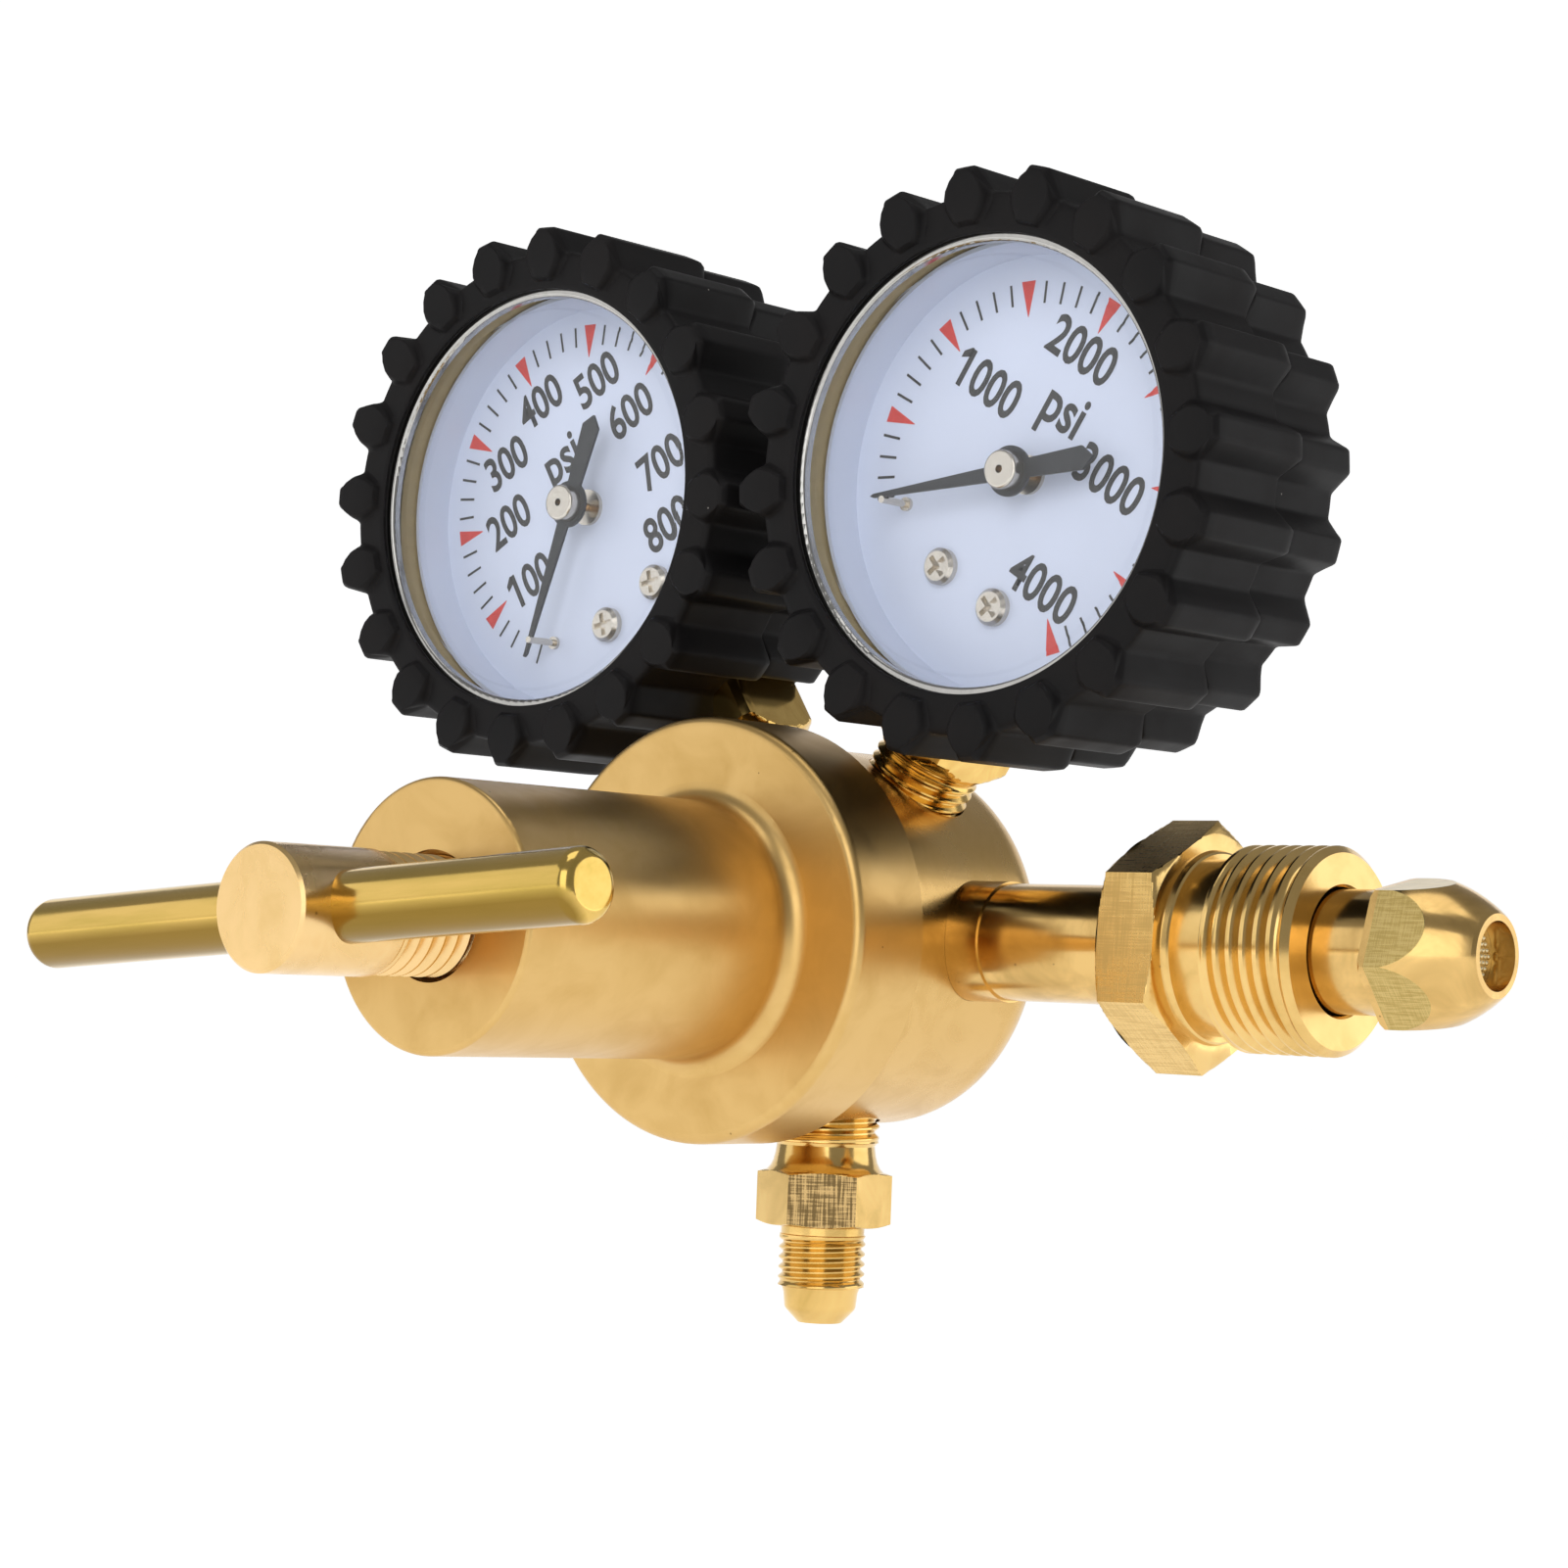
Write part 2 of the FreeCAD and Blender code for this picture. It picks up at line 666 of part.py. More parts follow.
def make_outlet_fitting():
    bore = outlet_bore_dia / 2
    root = port_thread_dia / 2
    base = outlet_hex_flats / 2
    start_z = port_floor + outlet_end_gap
    collar_z = body_dia / 2 + outlet_stand
    hex_z = collar_z + outlet_collar_length
    hex_end_z = hex_z + outlet_hex_length
    thread_z = hex_end_z + outlet_neck_length
    shoulder_z = thread_z + flare_thread_length
    cone_z = shoulder_z + flare_shoulder_length
    end_z = cone_z + (flare_shoulder_dia - flare_end_dia) / 2
    neck = flare_thread_dia / 2 - outlet_neck_step
    top = turned([
        (start_z, bore), (start_z, root), (collar_z, root), (collar_z, outlet_collar_dia / 2),
        (hex_z, base), (hex_z, bore)], "down")
    end = turned([
        (hex_end_z, bore), (hex_end_z, neck), (thread_z, neck), (thread_z, flare_thread_dia / 2),
        (shoulder_z, flare_thread_dia / 2), (shoulder_z + flare_shoulder_slope, flare_shoulder_dia / 2),
        (cone_z, flare_shoulder_dia / 2), (end_z, flare_end_dia / 2), (end_z, bore)], "down")
    bar = hexagon(outlet_hex_flats, hex_z, hex_end_z, "down")
    bar.rotate(V(0, 0, 0), V(0, 0, 1), outlet_turn)
    bar = bar.cut(rod(bore, hex_z, hex_end_z, "down"))
    corner = corner_radius(outlet_hex_flats) + seat_gap
    crown = turned([
        (hex_z, 0), (hex_z, base), (hex_z + outlet_hex_chamfer, corner),
        (hex_end_z - outlet_hex_chamfer, corner), (hex_end_z, base), (hex_end_z, 0)], "down")
    return top.fuse(bar.common(crown)).fuse(end).removeSplitter()


# Gauges. Every piece is laid out upright above the body axis and then leaned.

def depth(value):
    """Y of a depth behind the bezel's front."""
    return gauge_front_y + value


def face_ring(steps):
    """A turned piece about the gauge's own axis, from (depth, radius) corners."""
    piece = turned([(depth(s[0]), s[1]) if not isinstance(s[0], tuple)
                    else ((depth(s[0][0]), s[0][1]), (depth(s[1][0]), s[1][1])) for s in steps], "y")
    piece.translate(V(0, 0, gauge_reach))
    return piece


def face_rod(radius, front, back, x=0.0, z=0.0):
    """A pin along Y at a place given from the dial centre."""
    return Part.makeCylinder(radius, back - front, V(x, depth(front), gauge_reach + z), V(0, 1, 0))


def flat_plate(points, front, thick):
    """A sheet piece cut to an outline of (x, z) points from the dial centre."""
    corners = [V(x, depth(front), gauge_reach + z) for x, z in points]
    return Part.Face(Part.makePolygon(corners + corners[:1])).extrude(V(0, thick, 0))


def bar_between(start, end, half, front, thick):
    """A flat bar of an even width between two (x, z) places."""
    along = math.atan2(end[1] - start[1], end[0] - start[0])
    side = (-math.sin(along) * half, math.cos(along) * half)
    return flat_plate([(start[0] + side[0], start[1] + side[1]), (end[0] + side[0], end[1] + side[1]),
                       (end[0] - side[0], end[1] - side[1]), (start[0] - side[0], start[1] - side[1])],
                      front, thick)


def polar(radius, angle):
    """(x, z) at an angle in degrees clockwise from straight down, seen from the front."""
    return (-radius * math.sin(math.radians(angle)), -radius * math.cos(math.radians(angle)))


def first_mark():
    return (360 - sweep_angle) / 2


def stem_window(gap):
    """The square hole that the stem needs in the wall of the case and the boot."""
    half = stem_square / 2 + gap
    return Part.makeBox(2 * half, 2 * half, block_bottom_z - stem_square_start,
                        V(-half, -half, stem_square_start))


def make_case():
    outer = case_dia / 2
    inner = outer - case_wall
    floor = case_depth - case_wall
    inner_bevel = case_bevel - case_wall / 2
    cup = face_ring([
        (lens_back, inner), (lens_back, outer), (case_depth - case_bevel, outer),
        (case_depth, outer - case_bevel), (case_depth, 0), (floor, 0),
        (floor, inner - inner_bevel), (floor - inner_bevel, inner)])
    return cup.cut(stem_window(seat_gap))


def make_bezel():
    """Rolled ring over the lens and the case, its front edges rounded."""
    outer = bezel_dia / 2
    hole = bezel_hole_dia / 2
    inner = case_dia / 2 + seat_gap
    seat = outer - bezel_wall
    crest = hole + bezel_inner_edge
    return face_ring([
        (bezel_inner_edge, hole), (rounded((bezel_inner_edge, crest), bezel_inner_edge, 270, 180), (0, crest)),
        (0, outer - bezel_edge), (rounded((bezel_edge, outer - bezel_edge), bezel_edge, 180, 90), (bezel_edge, outer)),
        (bezel_depth, outer), (bezel_depth, inner), (lens_back, inner),
        (lens_back, seat), (lens_front, seat), (lens_front, hole)])


def make_lens():
    radius = bezel_dia / 2 - bezel_wall - seat_gap
    step = bezel_hole_dia / 2 - lens_step_gap
    return face_ring([
        (lens_front - lens_step, 0), (lens_front - lens_step, step - lens_step), (lens_front, step),
        (lens_front, radius), (lens_back, radius), (lens_back, 0)])


def make_dial():
    """A white pan with a steep rim; its flat is bored for the arbor, the screws and the stop pin."""
    rim = dial_rim_dia / 2
    lip = rim - dial_rim_lip
    flat = dial_flat_dia / 2
    hole = dial_hole_dia / 2
    back = dial_depth + dial_thick
    pan = face_ring([
        (dial_depth, hole), (dial_depth, flat), (dial_rim_front + dial_thick, lip), (dial_rim_front, lip),
        (dial_rim_front, rim), (dial_rim_front + dial_thick, rim), (back, flat + dial_thick), (back, hole)])
    for side in SIDES:
        pan = pan.cut(face_rod(dial_screw_shank / 2 + seat_gap, dial_rim_front, block_front,
                               side * dial_screw_side, -dial_screw_drop))
    return pan.cut(face_rod(stop_pin_dia / 2 + seat_gap, dial_rim_front, block_front, *stop_pin_place()))


def make_bushing():
    """Flat collar on the dial round the arbor."""
    hole = arbor_dia / 2 + running_gap
    ring = face_rod(bushing_dia / 2, dial_depth - bushing_thick, dial_depth)
    return ring.cut(face_rod(hole, dial_depth - bushing_thick, dial_depth))


def needle_half_width(radius):
    """Half the pointer's width at a distance from its hub."""
    start = hub_dia / 2
    share = (radius - start) / (pointer_reach - start)
    return needle_root_half + (needle_tip_half - needle_root_half) * share


def stop_pin_place():
    """(x, z) of the pin, which stands just before the needle at rest."""
    room = needle_half_width(stop_pin_radius) + stop_pin_dia / 2 + stop_pin_gap
    angle = first_mark() + rest_angle - math.degrees(math.asin(room / stop_pin_radius))
    return polar(stop_pin_radius, angle)


def make_stop_pin():
    place = stop_pin_place()
    pin = face_rod(stop_pin_dia / 2, dial_depth - stop_pin_height, dial_depth + dial_thick, *place)
    collar = face_rod(stop_pin_collar_dia / 2, dial_depth - stop_pin_collar, dial_depth, *place)
    return pin.fuse(collar).removeSplitter()


def make_dial_screws():
    head_front = dial_depth - dial_screw_head
    screws = []
    for side in SIDES:
        place = (side * dial_screw_side, -dial_screw_drop)
        head = face_rod(dial_screw_dia / 2, head_front, dial_depth, *place)
        rim = [e for e in head.Edges if e.Closed and e.BoundBox.YMax < depth(dial_depth - dial_screw_head / 2)]
        shank = face_rod(dial_screw_shank / 2, dial_depth, dial_depth + dial_screw_length, *place)
        screw = head.makeChamfer(dial_screw_edge, rim).fuse(shank)
        for turn in (0, 90):
            slot = Part.makeBox(cross_slot_length, cross_slot_width, cross_slot_width,
                                V(-cross_slot_length / 2, 0, -cross_slot_width / 2))
            slot.rotate(V(0, 0, 0), V(0, 1, 0), turn + cross_slot_turn)
            slot.translate(V(place[0], depth(head_front), gauge_reach + place[1]))
            screw = screw.cut(slot)
        screws.append(screw)
    return Part.makeCompound(screws)


# Pointer

def turned_to(shape, angle):
    """Turn a piece that points straight down about the dial axis, clockwise seen from the front."""
    piece = shape.copy()
    piece.rotate(V(0, depth(0), gauge_reach), V(0, 1, 0), angle)
    return piece


def make_pointer():
    """Needle, hub ring and blunt tail, cut from sheet."""
    shoulder = pointer_reach - pointer_point
    needle = flat_plate([
        (-needle_root_half, -hub_dia / 4), (needle_root_half, -hub_dia / 4),
        (needle_tip_half, -shoulder), (0, -pointer_reach), (-needle_tip_half, -shoulder)],
        pointer_depth, pointer_thick)
    tail = flat_plate([
        (-tail_root_half, hub_dia / 4), (tail_root_half, hub_dia / 4), (tail_end_half, tail_shoulder),
        (0, tail_reach), (-tail_end_half, tail_shoulder)], pointer_depth, pointer_thick)
    hub = face_rod(hub_dia / 2, pointer_depth, pointer_depth + pointer_thick)
    hole = face_rod(arbor_dia / 2 + seat_gap, pointer_depth, pointer_depth + pointer_thick)
    sheet = needle.fuse(tail).fuse(hub).cut(hole)
    return turned_to(sheet.removeSplitter(), first_mark() + rest_angle)


def make_pointer_cap():
    """Cap in front of the pointer's hub and the foot behind it."""
    radius = cap_dia / 2
    hole = cap_hole_dia / 2
    round_depth = cap_front + cap_round
    foot_front = pointer_depth + pointer_thick
    foot_hole = arbor_dia / 2 + seat_gap
    cap = face_ring([
        (cap_front, hole), (cap_front, radius - cap_round),
        (rounded((round_depth, radius - cap_round), cap_round, 180, 90), (round_depth, radius)),
        (pointer_depth, radius), (pointer_depth, hole)])
    foot = face_ring([
        (foot_front, foot_hole), (foot_front, foot_root_dia / 2),
        (foot_front + foot_length, foot_end_dia / 2), (foot_front + foot_length, foot_hole)])
    return Part.makeCompound([cap, foot])


# Gears, link and plates

def tooth_ring(teeth, first, count, pitch_radius, root_radius):
    """Points of an outline with teeth, as (radius, angle) pairs; angles in degrees."""
    step = 360.0 / teeth
    tip_radius = pitch_radius + 0.8 * gear_module
    root_half = 0.25 * step
    pitch_half = 0.18 * step
    tip_half = 0.07 * step
    points = []
    for i in range(count):
        middle = first + i * step
        points += [(root_radius, middle - root_half), (pitch_radius, middle - pitch_half),
                   (tip_radius, middle - tip_half), (tip_radius, middle + tip_half),
                   (pitch_radius, middle + pitch_half), (root_radius, middle + root_half)]
    return points


def pinion_radius():
    return gear_module * pinion_teeth / 2


def sector_radius():
    return gear_module * sector_full_teeth / 2


def sector_pivot():
    return polar(pinion_radius() + sector_radius() + gear_play, -sector_side)


def tail_pin():
    """(x, z) of the pin that joins the sector's tail to the link."""
    pivot = sector_pivot()
    angle = math.radians(tail_angle)
    return (pivot[0] + tail_length * math.cos(angle), pivot[1] + tail_length * math.sin(angle))


def tube_end_pin():
    """(x, z) of the pin in the tube's end piece."""
    return polar(tube_radius - tube_pin_in, tube_start + tube_sweep)


def make_pointer_arbor():
    """Spindle with the pinion cut on it, from the back plate to the pointer."""
    spindle = face_rod(arbor_dia / 2, pointer_depth, block_front)
    ring = tooth_ring(pinion_teeth, -sector_side + 180.0 / pinion_teeth, pinion_teeth, pinion_radius(),
                      pinion_radius() - gear_module)
    gear = flat_plate([polar(radius, angle) for radius, angle in ring], gear_depth, gear_thick)
    return spindle.fuse(gear).removeSplitter()


def make_sector_gear():
    """Toothed sector with a tail, on its own short arbor. At rest its last teeth are in mesh."""
    pivot = sector_pivot()
    tail = tail_pin()
    root = sector_radius() - 1.25 * gear_module
    inner = sector_radius() - sector_rim
    step = 360.0 / sector_full_teeth
    mesh_angle = 180.0 - sector_side
    ring = tooth_ring(sector_full_teeth, mesh_angle - step, sector_cut_teeth, sector_radius(), root)
    low = ring[0][1] - sector_end_margin
    high = ring[-1][1] + sector_end_margin
    points = [(root, low)] + ring + [(root, high), (inner, high), (sector_web_half, high + sector_web_spread),
                                     (sector_web_half, low - sector_web_spread), (inner, low)]
    places = [polar(radius, angle) for radius, angle in points]
    web = flat_plate([(x + pivot[0], z + pivot[1]) for x, z in places], gear_depth, gear_thick)
    back = gear_depth + gear_thick
    arm = bar_between(pivot, tail, tail_half, gear_depth, gear_thick)
    hub = face_rod(sector_hub_dia / 2, gear_depth, back, *pivot)
    eye = face_rod(tail_half, gear_depth, back, *tail)
    arbor = face_rod(arbor_dia / 2, front_plate_depth, block_front, *pivot)
    pin = face_rod(link_pin_dia / 2, gear_depth, back + link_thick + link_pin_out, *tail)
    return web.fuse([arm, hub, eye, arbor, pin]).removeSplitter()


def make_link():
    front = gear_depth + gear_thick
    back = front + link_thick
    ends = (tail_pin(), tube_end_pin())
    link = bar_between(ends[0], ends[1], link_half, front, link_thick)
    link = link.fuse([face_rod(link_eye_dia / 2, front, back, *place) for place in ends])
    for place in ends:
        link = link.cut(face_rod(link_pin_dia / 2 + running_gap, front, back, *place))
    return link.removeSplitter()


def make_movement_frame():
    """Two plates on two posts; the back plate's foot lies on the socket block."""
    half_foot = dial_screw_side - dial_boss_dia / 2 - loose_gap
    foot_z = back_plate_lap - block_bottom
    upper = plate_upper + [(half_foot, plate_upper[-1][1])]
    front = flat_plate(upper + [(half_foot, front_plate_foot[1]), front_plate_foot], front_plate_depth, plate_metal)
    back = flat_plate(upper + [(half_foot, foot_z), (-half_foot, foot_z), (-half_foot, back_plate_step)],
                      back_plate_depth, plate_metal)
    posts = [face_rod(post_dia / 2, front_plate_depth, block_front, *place) for place in post_places]
    frame = back.fuse([front] + posts)
    for place in ((0, 0), sector_pivot()):
        frame = frame.cut(face_rod(arbor_dia / 2 + running_gap, front_plate_depth, block_front, *place))
    return frame.removeSplitter()


def make_hairspring():
    """Flat spiral round the arbor, in front of the gears."""
    inner_points = []
    outer_points = []
    count = int(hair_turns * 12)
    for i in range(count + 1):
        share = i / count
        angle = math.radians(360 * hair_turns * share)
        radius = hair_inner + (hair_outer - hair_inner) * share
        inner_points.append((radius * math.cos(angle), radius * math.sin(angle)))
        outer_points.append(((radius + hair_strip) * math.cos(angle), (radius + hair_strip) * math.sin(angle)))
    return flat_plate(inner_points + outer_points[::-1], front_plate_depth + plate_metal + hair_gap, hair_width)


# Bourdon tube and socket

def tube_solid(gap):
    """The bent flattened tube alone, grown by a gap all round."""
    middle = (depth(block_front) + depth(block_back)) / 2
    half_wide = tube_wide / 2 + gap
    half_thick = tube_thick / 2 + gap
    straight = half_wide - half_thick
    outer = -tube_radius - half_thick
    inner = -tube_radius + half_thick
    section = Part.Face(Part.Wire([
        Part.LineSegment(V(outer, -straight, 0), V(outer, straight, 0)).toShape(),
        Part.Arc(V(outer, straight, 0), V(-tube_radius, half_wide, 0), V(inner, straight, 0)).toShape(),
        Part.LineSegment(V(inner, straight, 0), V(inner, -straight, 0)).toShape(),
        Part.Arc(V(inner, -straight, 0), V(-tube_radius, -half_wide, 0), V(outer, -straight, 0)).toShape()]))
    section.rotate(V(0, 0, 0), V(0, 1, 0), tube_start - 90)
    tube = section.revolve(V(0, 0, 0), V(0, 1, 0), tube_sweep)
    tube.translate(V(0, middle, gauge_reach))
    return tube


def make_bourdon_tube():
    """Flattened tube bent into a C, closed by an end piece with a pin."""
    end_x, end_z = tube_end_pin()
    tip_x, tip_z = polar(tube_radius, tube_start + tube_sweep)
    link_back = gear_depth + gear_thick + link_thick
    front = link_back + loose_gap
    back = (block_front + block_back + tube_wide) / 2
    block = Part.makeBox(end_piece_length, back - front, end_piece_height,
                         V(min(end_x, tip_x) - end_piece_lap, depth(front), gauge_reach + tip_z - end_piece_below))
    pin = face_rod(link_pin_dia / 2, gear_depth + gear_thick - loose_gap, link_back + link_pin_out, end_x, end_z)
    return tube_solid(0).fuse([block, pin]).removeSplitter()


def make_socket():
    """Stem, square and block in one piece, with two bosses for the dial and a bored gas way."""
    half = stem_square / 2
    thread = port_thread_dia / 2
    square = Part.makeBox(stem_square, block_thick, block_top_z - stem_square_start,
                          V(-half, depth(block_front), stem_square_start))
    shank = Part.makeBox(stem_square, stem_square, block_bottom_z - stem_square_start,
                         V(-half, -half, stem_square_start))
    taper = Part.makeCone(thread, half * stem_taper_swell, stem_taper, V(0, 0, stem_taper_start))
    taper = taper.common(Part.makeBox(stem_square, stem_square, stem_taper, V(-half, -half, stem_taper_start)))
    block = Part.makeBox(block_width, block_thick, block_height,
                         V(-block_width / 2, depth(block_front), block_bottom_z))
    piece = shank.fuse([square, rod(thread, port_end, stem_taper_start, "up"), taper, block])
    for side in SIDES:
        place = (side * dial_screw_side, -dial_screw_drop)
        hole_end = dial_depth + dial_screw_length + dial_screw_end_gap
        piece = piece.fuse(face_rod(dial_boss_dia / 2, dial_depth + dial_thick, block_front, *place))
        piece = piece.cut(face_rod(dial_screw_shank / 2 + seat_gap, dial_depth, hole_end, *place))
    bore = rod(stem_bore_dia / 2, port_end, (block_bottom_z + block_top_z) / 2, "up")
    return piece.cut(tube_solid(seat_gap)).cut(bore).removeSplitter()


# Boots

def rib_section(at, shrink, top):
    """Six-sided section of a rib at one depth, its top towards +Z."""
    half_base = rib_half_base - shrink
    half_top = rib_half_top - shrink / 2
    base = bezel_dia / 2 + rib_sink
    widest = boot_rear_dia / 2
    points = [(-half_top, base), (half_top, base), (half_base, widest),
              (half_top, top - shrink), (-half_top, top - shrink), (-half_base, widest)]
    corners = [V(x, depth(at), gauge_reach + z) for x, z in points]
    return Part.makePolygon(corners + corners[:1])


def make_rib(front, back, top, front_edge, back_shrink, slope):
    """One rib, lofted through four sections so that both ends are bevelled."""
    sections = [rib_section(front, front_edge, top), rib_section(front + front_edge, 0.0, top),
                rib_section(back - slope, 0.0, top), rib_section(back, back_shrink, top)]
    return Part.makeLoft(sections, True, True)


def make_boot():
    """Ribbed sleeve round the case, with a lip over the bezel and a hole for the stem."""
    inner = bezel_dia / 2 + seat_gap
    case_inner = case_dia / 2 + seat_gap
    lip = bezel_dia / 2 - boot_lip_lap
    outer = boot_dia / 2
    rear = boot_rear_dia / 2
    hole = case_dia / 2 - boot_back_margin
    sleeve = face_ring([
        (0, lip), (boot_lip_edge - boot_lip_thick, lip), (-boot_lip_thick, lip + boot_lip_edge),
        (-boot_lip_thick, outer - boot_edge), (boot_edge - boot_lip_thick, outer),
        (boot_step, outer), (boot_step, rear), (boot_depth - boot_back_edge, rear),
        (boot_depth, rear - boot_back_edge), (boot_depth, hole), (case_depth, hole),
        (case_depth, case_dia / 2 - case_bevel), (case_depth - case_bevel, case_inner),
        (bezel_depth, case_inner), (bezel_depth, inner), (0, inner)])
    front_rib = make_rib(-boot_lip_thick - rib_knob_rise, boot_step + rib_overlap, rib_top_dia / 2,
                         rib_knob_edge, rib_end_shrink, rib_front_slope)
    rear_rib = make_rib(boot_step - rib_rear_lap, boot_depth - rib_rear_end_gap, rib_rear_dia / 2,
                        boot_lip_edge, rib_end_shrink, rib_rear_slope)
    ribs = []
    for i in range(rib_count):
        angle = 360.0 * i / rib_count
        ribs += [turned_to(front_rib, angle), turned_to(rear_rib, angle)]
    return sleeve.fuse(ribs).cut(stem_window(stem_hole_gap)).removeSplitter()


def make_gauge(name, angle):
    """Write every piece of one gauge."""
    makers = [
        ("boot", make_boot), ("case", make_case), ("bezel", make_bezel), ("lens", make_lens),
        ("dial", make_dial), ("bushing", make_bushing), ("stop_pin", make_stop_pin),
        ("dial_screws", make_dial_screws), ("pointer", make_pointer), ("pointer_cap", make_pointer_cap),
        ("pointer_arbor", make_pointer_arbor), ("sector_gear", make_sector_gear), ("link", make_link),
        ("movement_frame", make_movement_frame), ("hairspring", make_hairspring),
        ("bourdon_tube", make_bourdon_tube), ("socket", make_socket)]
    for part, maker in makers:
        save(name + "_" + part, lean(maker(), angle))


def main():
    os.makedirs("parts", exist_ok=True)
    save("body", make_body())
    save("bonnet", make_bonnet())
    save("diaphragm", make_diaphragm())
    save("slip_ring", make_slip_ring())
    save("diaphragm_plate", make_diaphragm_plate())
    save("spring_button", make_spring_button())
    save("adjusting_spring", make_adjusting_spring())
    save("adjusting_screw", make_adjusting_screw())
    save("t_bar", make_t_bar())
    save("valve_nozzle", make_valve_nozzle())
    save("valve_poppet", make_valve_poppet())
    save("poppet_spring", make_poppet_spring())
    save("inlet_nipple", make_inlet_nipple())
    save("inlet_filter", make_inlet_filter())
    save("inlet_nut", make_inlet_nut())
    save("outlet_fitting", make_outlet_fitting())
    for name, angle in GAUGES:
        make_gauge(name, angle)


main()
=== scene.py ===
import bmesh
import bpy
import math
import numpy as np
from mathutils import Matrix, Vector


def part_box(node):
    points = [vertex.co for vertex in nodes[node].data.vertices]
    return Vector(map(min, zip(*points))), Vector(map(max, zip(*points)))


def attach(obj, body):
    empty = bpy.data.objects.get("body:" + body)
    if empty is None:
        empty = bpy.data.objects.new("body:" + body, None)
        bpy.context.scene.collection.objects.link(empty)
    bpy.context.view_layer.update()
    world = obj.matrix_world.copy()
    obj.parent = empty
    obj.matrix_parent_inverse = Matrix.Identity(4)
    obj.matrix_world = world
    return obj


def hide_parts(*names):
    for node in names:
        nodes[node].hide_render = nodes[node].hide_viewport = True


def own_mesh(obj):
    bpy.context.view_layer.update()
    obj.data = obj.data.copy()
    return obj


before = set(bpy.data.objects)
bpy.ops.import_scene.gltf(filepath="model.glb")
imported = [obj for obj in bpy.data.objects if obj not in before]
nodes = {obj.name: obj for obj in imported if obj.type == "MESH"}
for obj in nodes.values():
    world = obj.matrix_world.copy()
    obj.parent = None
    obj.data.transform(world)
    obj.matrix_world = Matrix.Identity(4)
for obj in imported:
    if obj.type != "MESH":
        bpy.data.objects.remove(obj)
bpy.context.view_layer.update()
mm = 0.001             # sizes below are in millimetres
sharpEdge = 32.0       # degrees between faces from which their edge stays sharp
print("frame loaded:", len(nodes), "nodes")


# Places read from the frame: a node's middle, lowest and highest place along an axis, in millimetres

def middle(node, axis):
    low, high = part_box(node)
    return (low[axis] + high[axis]) / 2 / mm


def lowest(node, axis):
    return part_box(node)[0][axis] / mm


def highest(node, axis):
    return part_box(node)[1][axis] / mm


bodyX = middle("bonnet", 0)      # the body axis runs along Y through here
gauges = {}
for side in ("low", "high"):
    centre = (middle(side + "_lens", 0), middle(side + "_lens", 2))
    lean = math.atan2(centre[0] - bodyX, centre[1])
    gauges[side] = {
        "centre": centre,
        "front": lowest(side + "_bezel", 1),
        "lean": lean,
        "reach": math.hypot(centre[0] - bodyX, centre[1]),
        "right": np.array([math.cos(lean), 0, -math.sin(lean)]),
        "up": np.array([math.sin(lean), 0, math.cos(lean)])}


# Surfaces from grids of points

def newPiece(name, data):
    # an object for a mesh, a text, a camera or a lamp, put into the scene
    piece = bpy.data.objects.new(name, data)
    bpy.context.scene.collection.objects.link(piece)
    return piece


def gridQuads(rows, columns, wrapRows=False, seamRows=None):
    # quads between neighbouring rows and columns; rows wrap when the profile is closed, and the last column
    # joins the first one at the row that seamRows gives, which is one turn further on in a thread
    seam = np.arange(rows) if seamRows is None else seamRows
    row = np.arange(rows if wrapRows else rows - 1)[:, None]
    column = np.arange(columns)[None, :]
    nextRow = (row + 1) % rows
    nextColumn = (column + 1) % columns
    last = column == columns - 1
    besideRow = np.where(last, seam[row], row)
    besideNextRow = np.where(last, seam[nextRow], nextRow)
    return np.stack([row * columns + column, besideRow * columns + nextColumn,
                     besideNextRow * columns + nextColumn, nextRow * columns + column], axis=-1).reshape(-1, 4)


def meshFromGrid(name, points, wrapRows, angle=sharpEdge, seamRows=None):
    # points are rows x columns x 3, in millimetres
    quads = gridQuads(*points.shape[:2], wrapRows, seamRows)
    return meshFromQuads(name, points.reshape(-1, 3) * mm, quads, angle)


def meshFromQuads(name, points, quads, angle=sharpEdge):
    # turned outwards by the sign of the volume: the sum of the corner triple products
    corner = points[quads]
    volume = (np.einsum("ij,ij->", corner[:, 0], np.cross(corner[:, 1], corner[:, 2]))
              + np.einsum("ij,ij->", corner[:, 0], np.cross(corner[:, 2], corner[:, 3])))
    if volume < 0:
        quads = quads[:, ::-1]
    mesh = bpy.data.meshes.new(name)
    mesh.vertices.add(len(points))
    mesh.vertices.foreach_set("co", points.astype(np.float32).ravel())
    mesh.loops.add(quads.size)
    mesh.loops.foreach_set("vertex_index", quads.astype(np.int32).ravel())
    mesh.polygons.add(len(quads))
    mesh.polygons.foreach_set("loop_start", np.arange(0, quads.size, 4, dtype=np.int32))
    mesh.polygons.foreach_set("use_smooth", np.ones(len(quads), dtype=bool))
    mesh.update(calc_edges=True)
    mesh.validate()
    mergePoles(mesh)
    mesh.set_sharp_from_angle(angle=math.radians(angle))
    return newPiece(name, mesh)


def mergePoles(mesh):
    # points that lie on each other, as at a pole, become one
    work = bmesh.new()
    work.from_mesh(mesh)
    bmesh.ops.remove_doubles(work, verts=work.verts, dist=1e-7)
    work.to_mesh(mesh)
    work.free()


def axisPlace(origin, along, start):
    # a turning axis and the side that angle 0 faces
    along = np.array(along, float) / np.linalg.norm(along)
    start = np.array(start, float) - along * np.dot(start, along)
    start /= np.linalg.norm(start)
    return np.array(origin, float), along, start, np.cross(along, start)


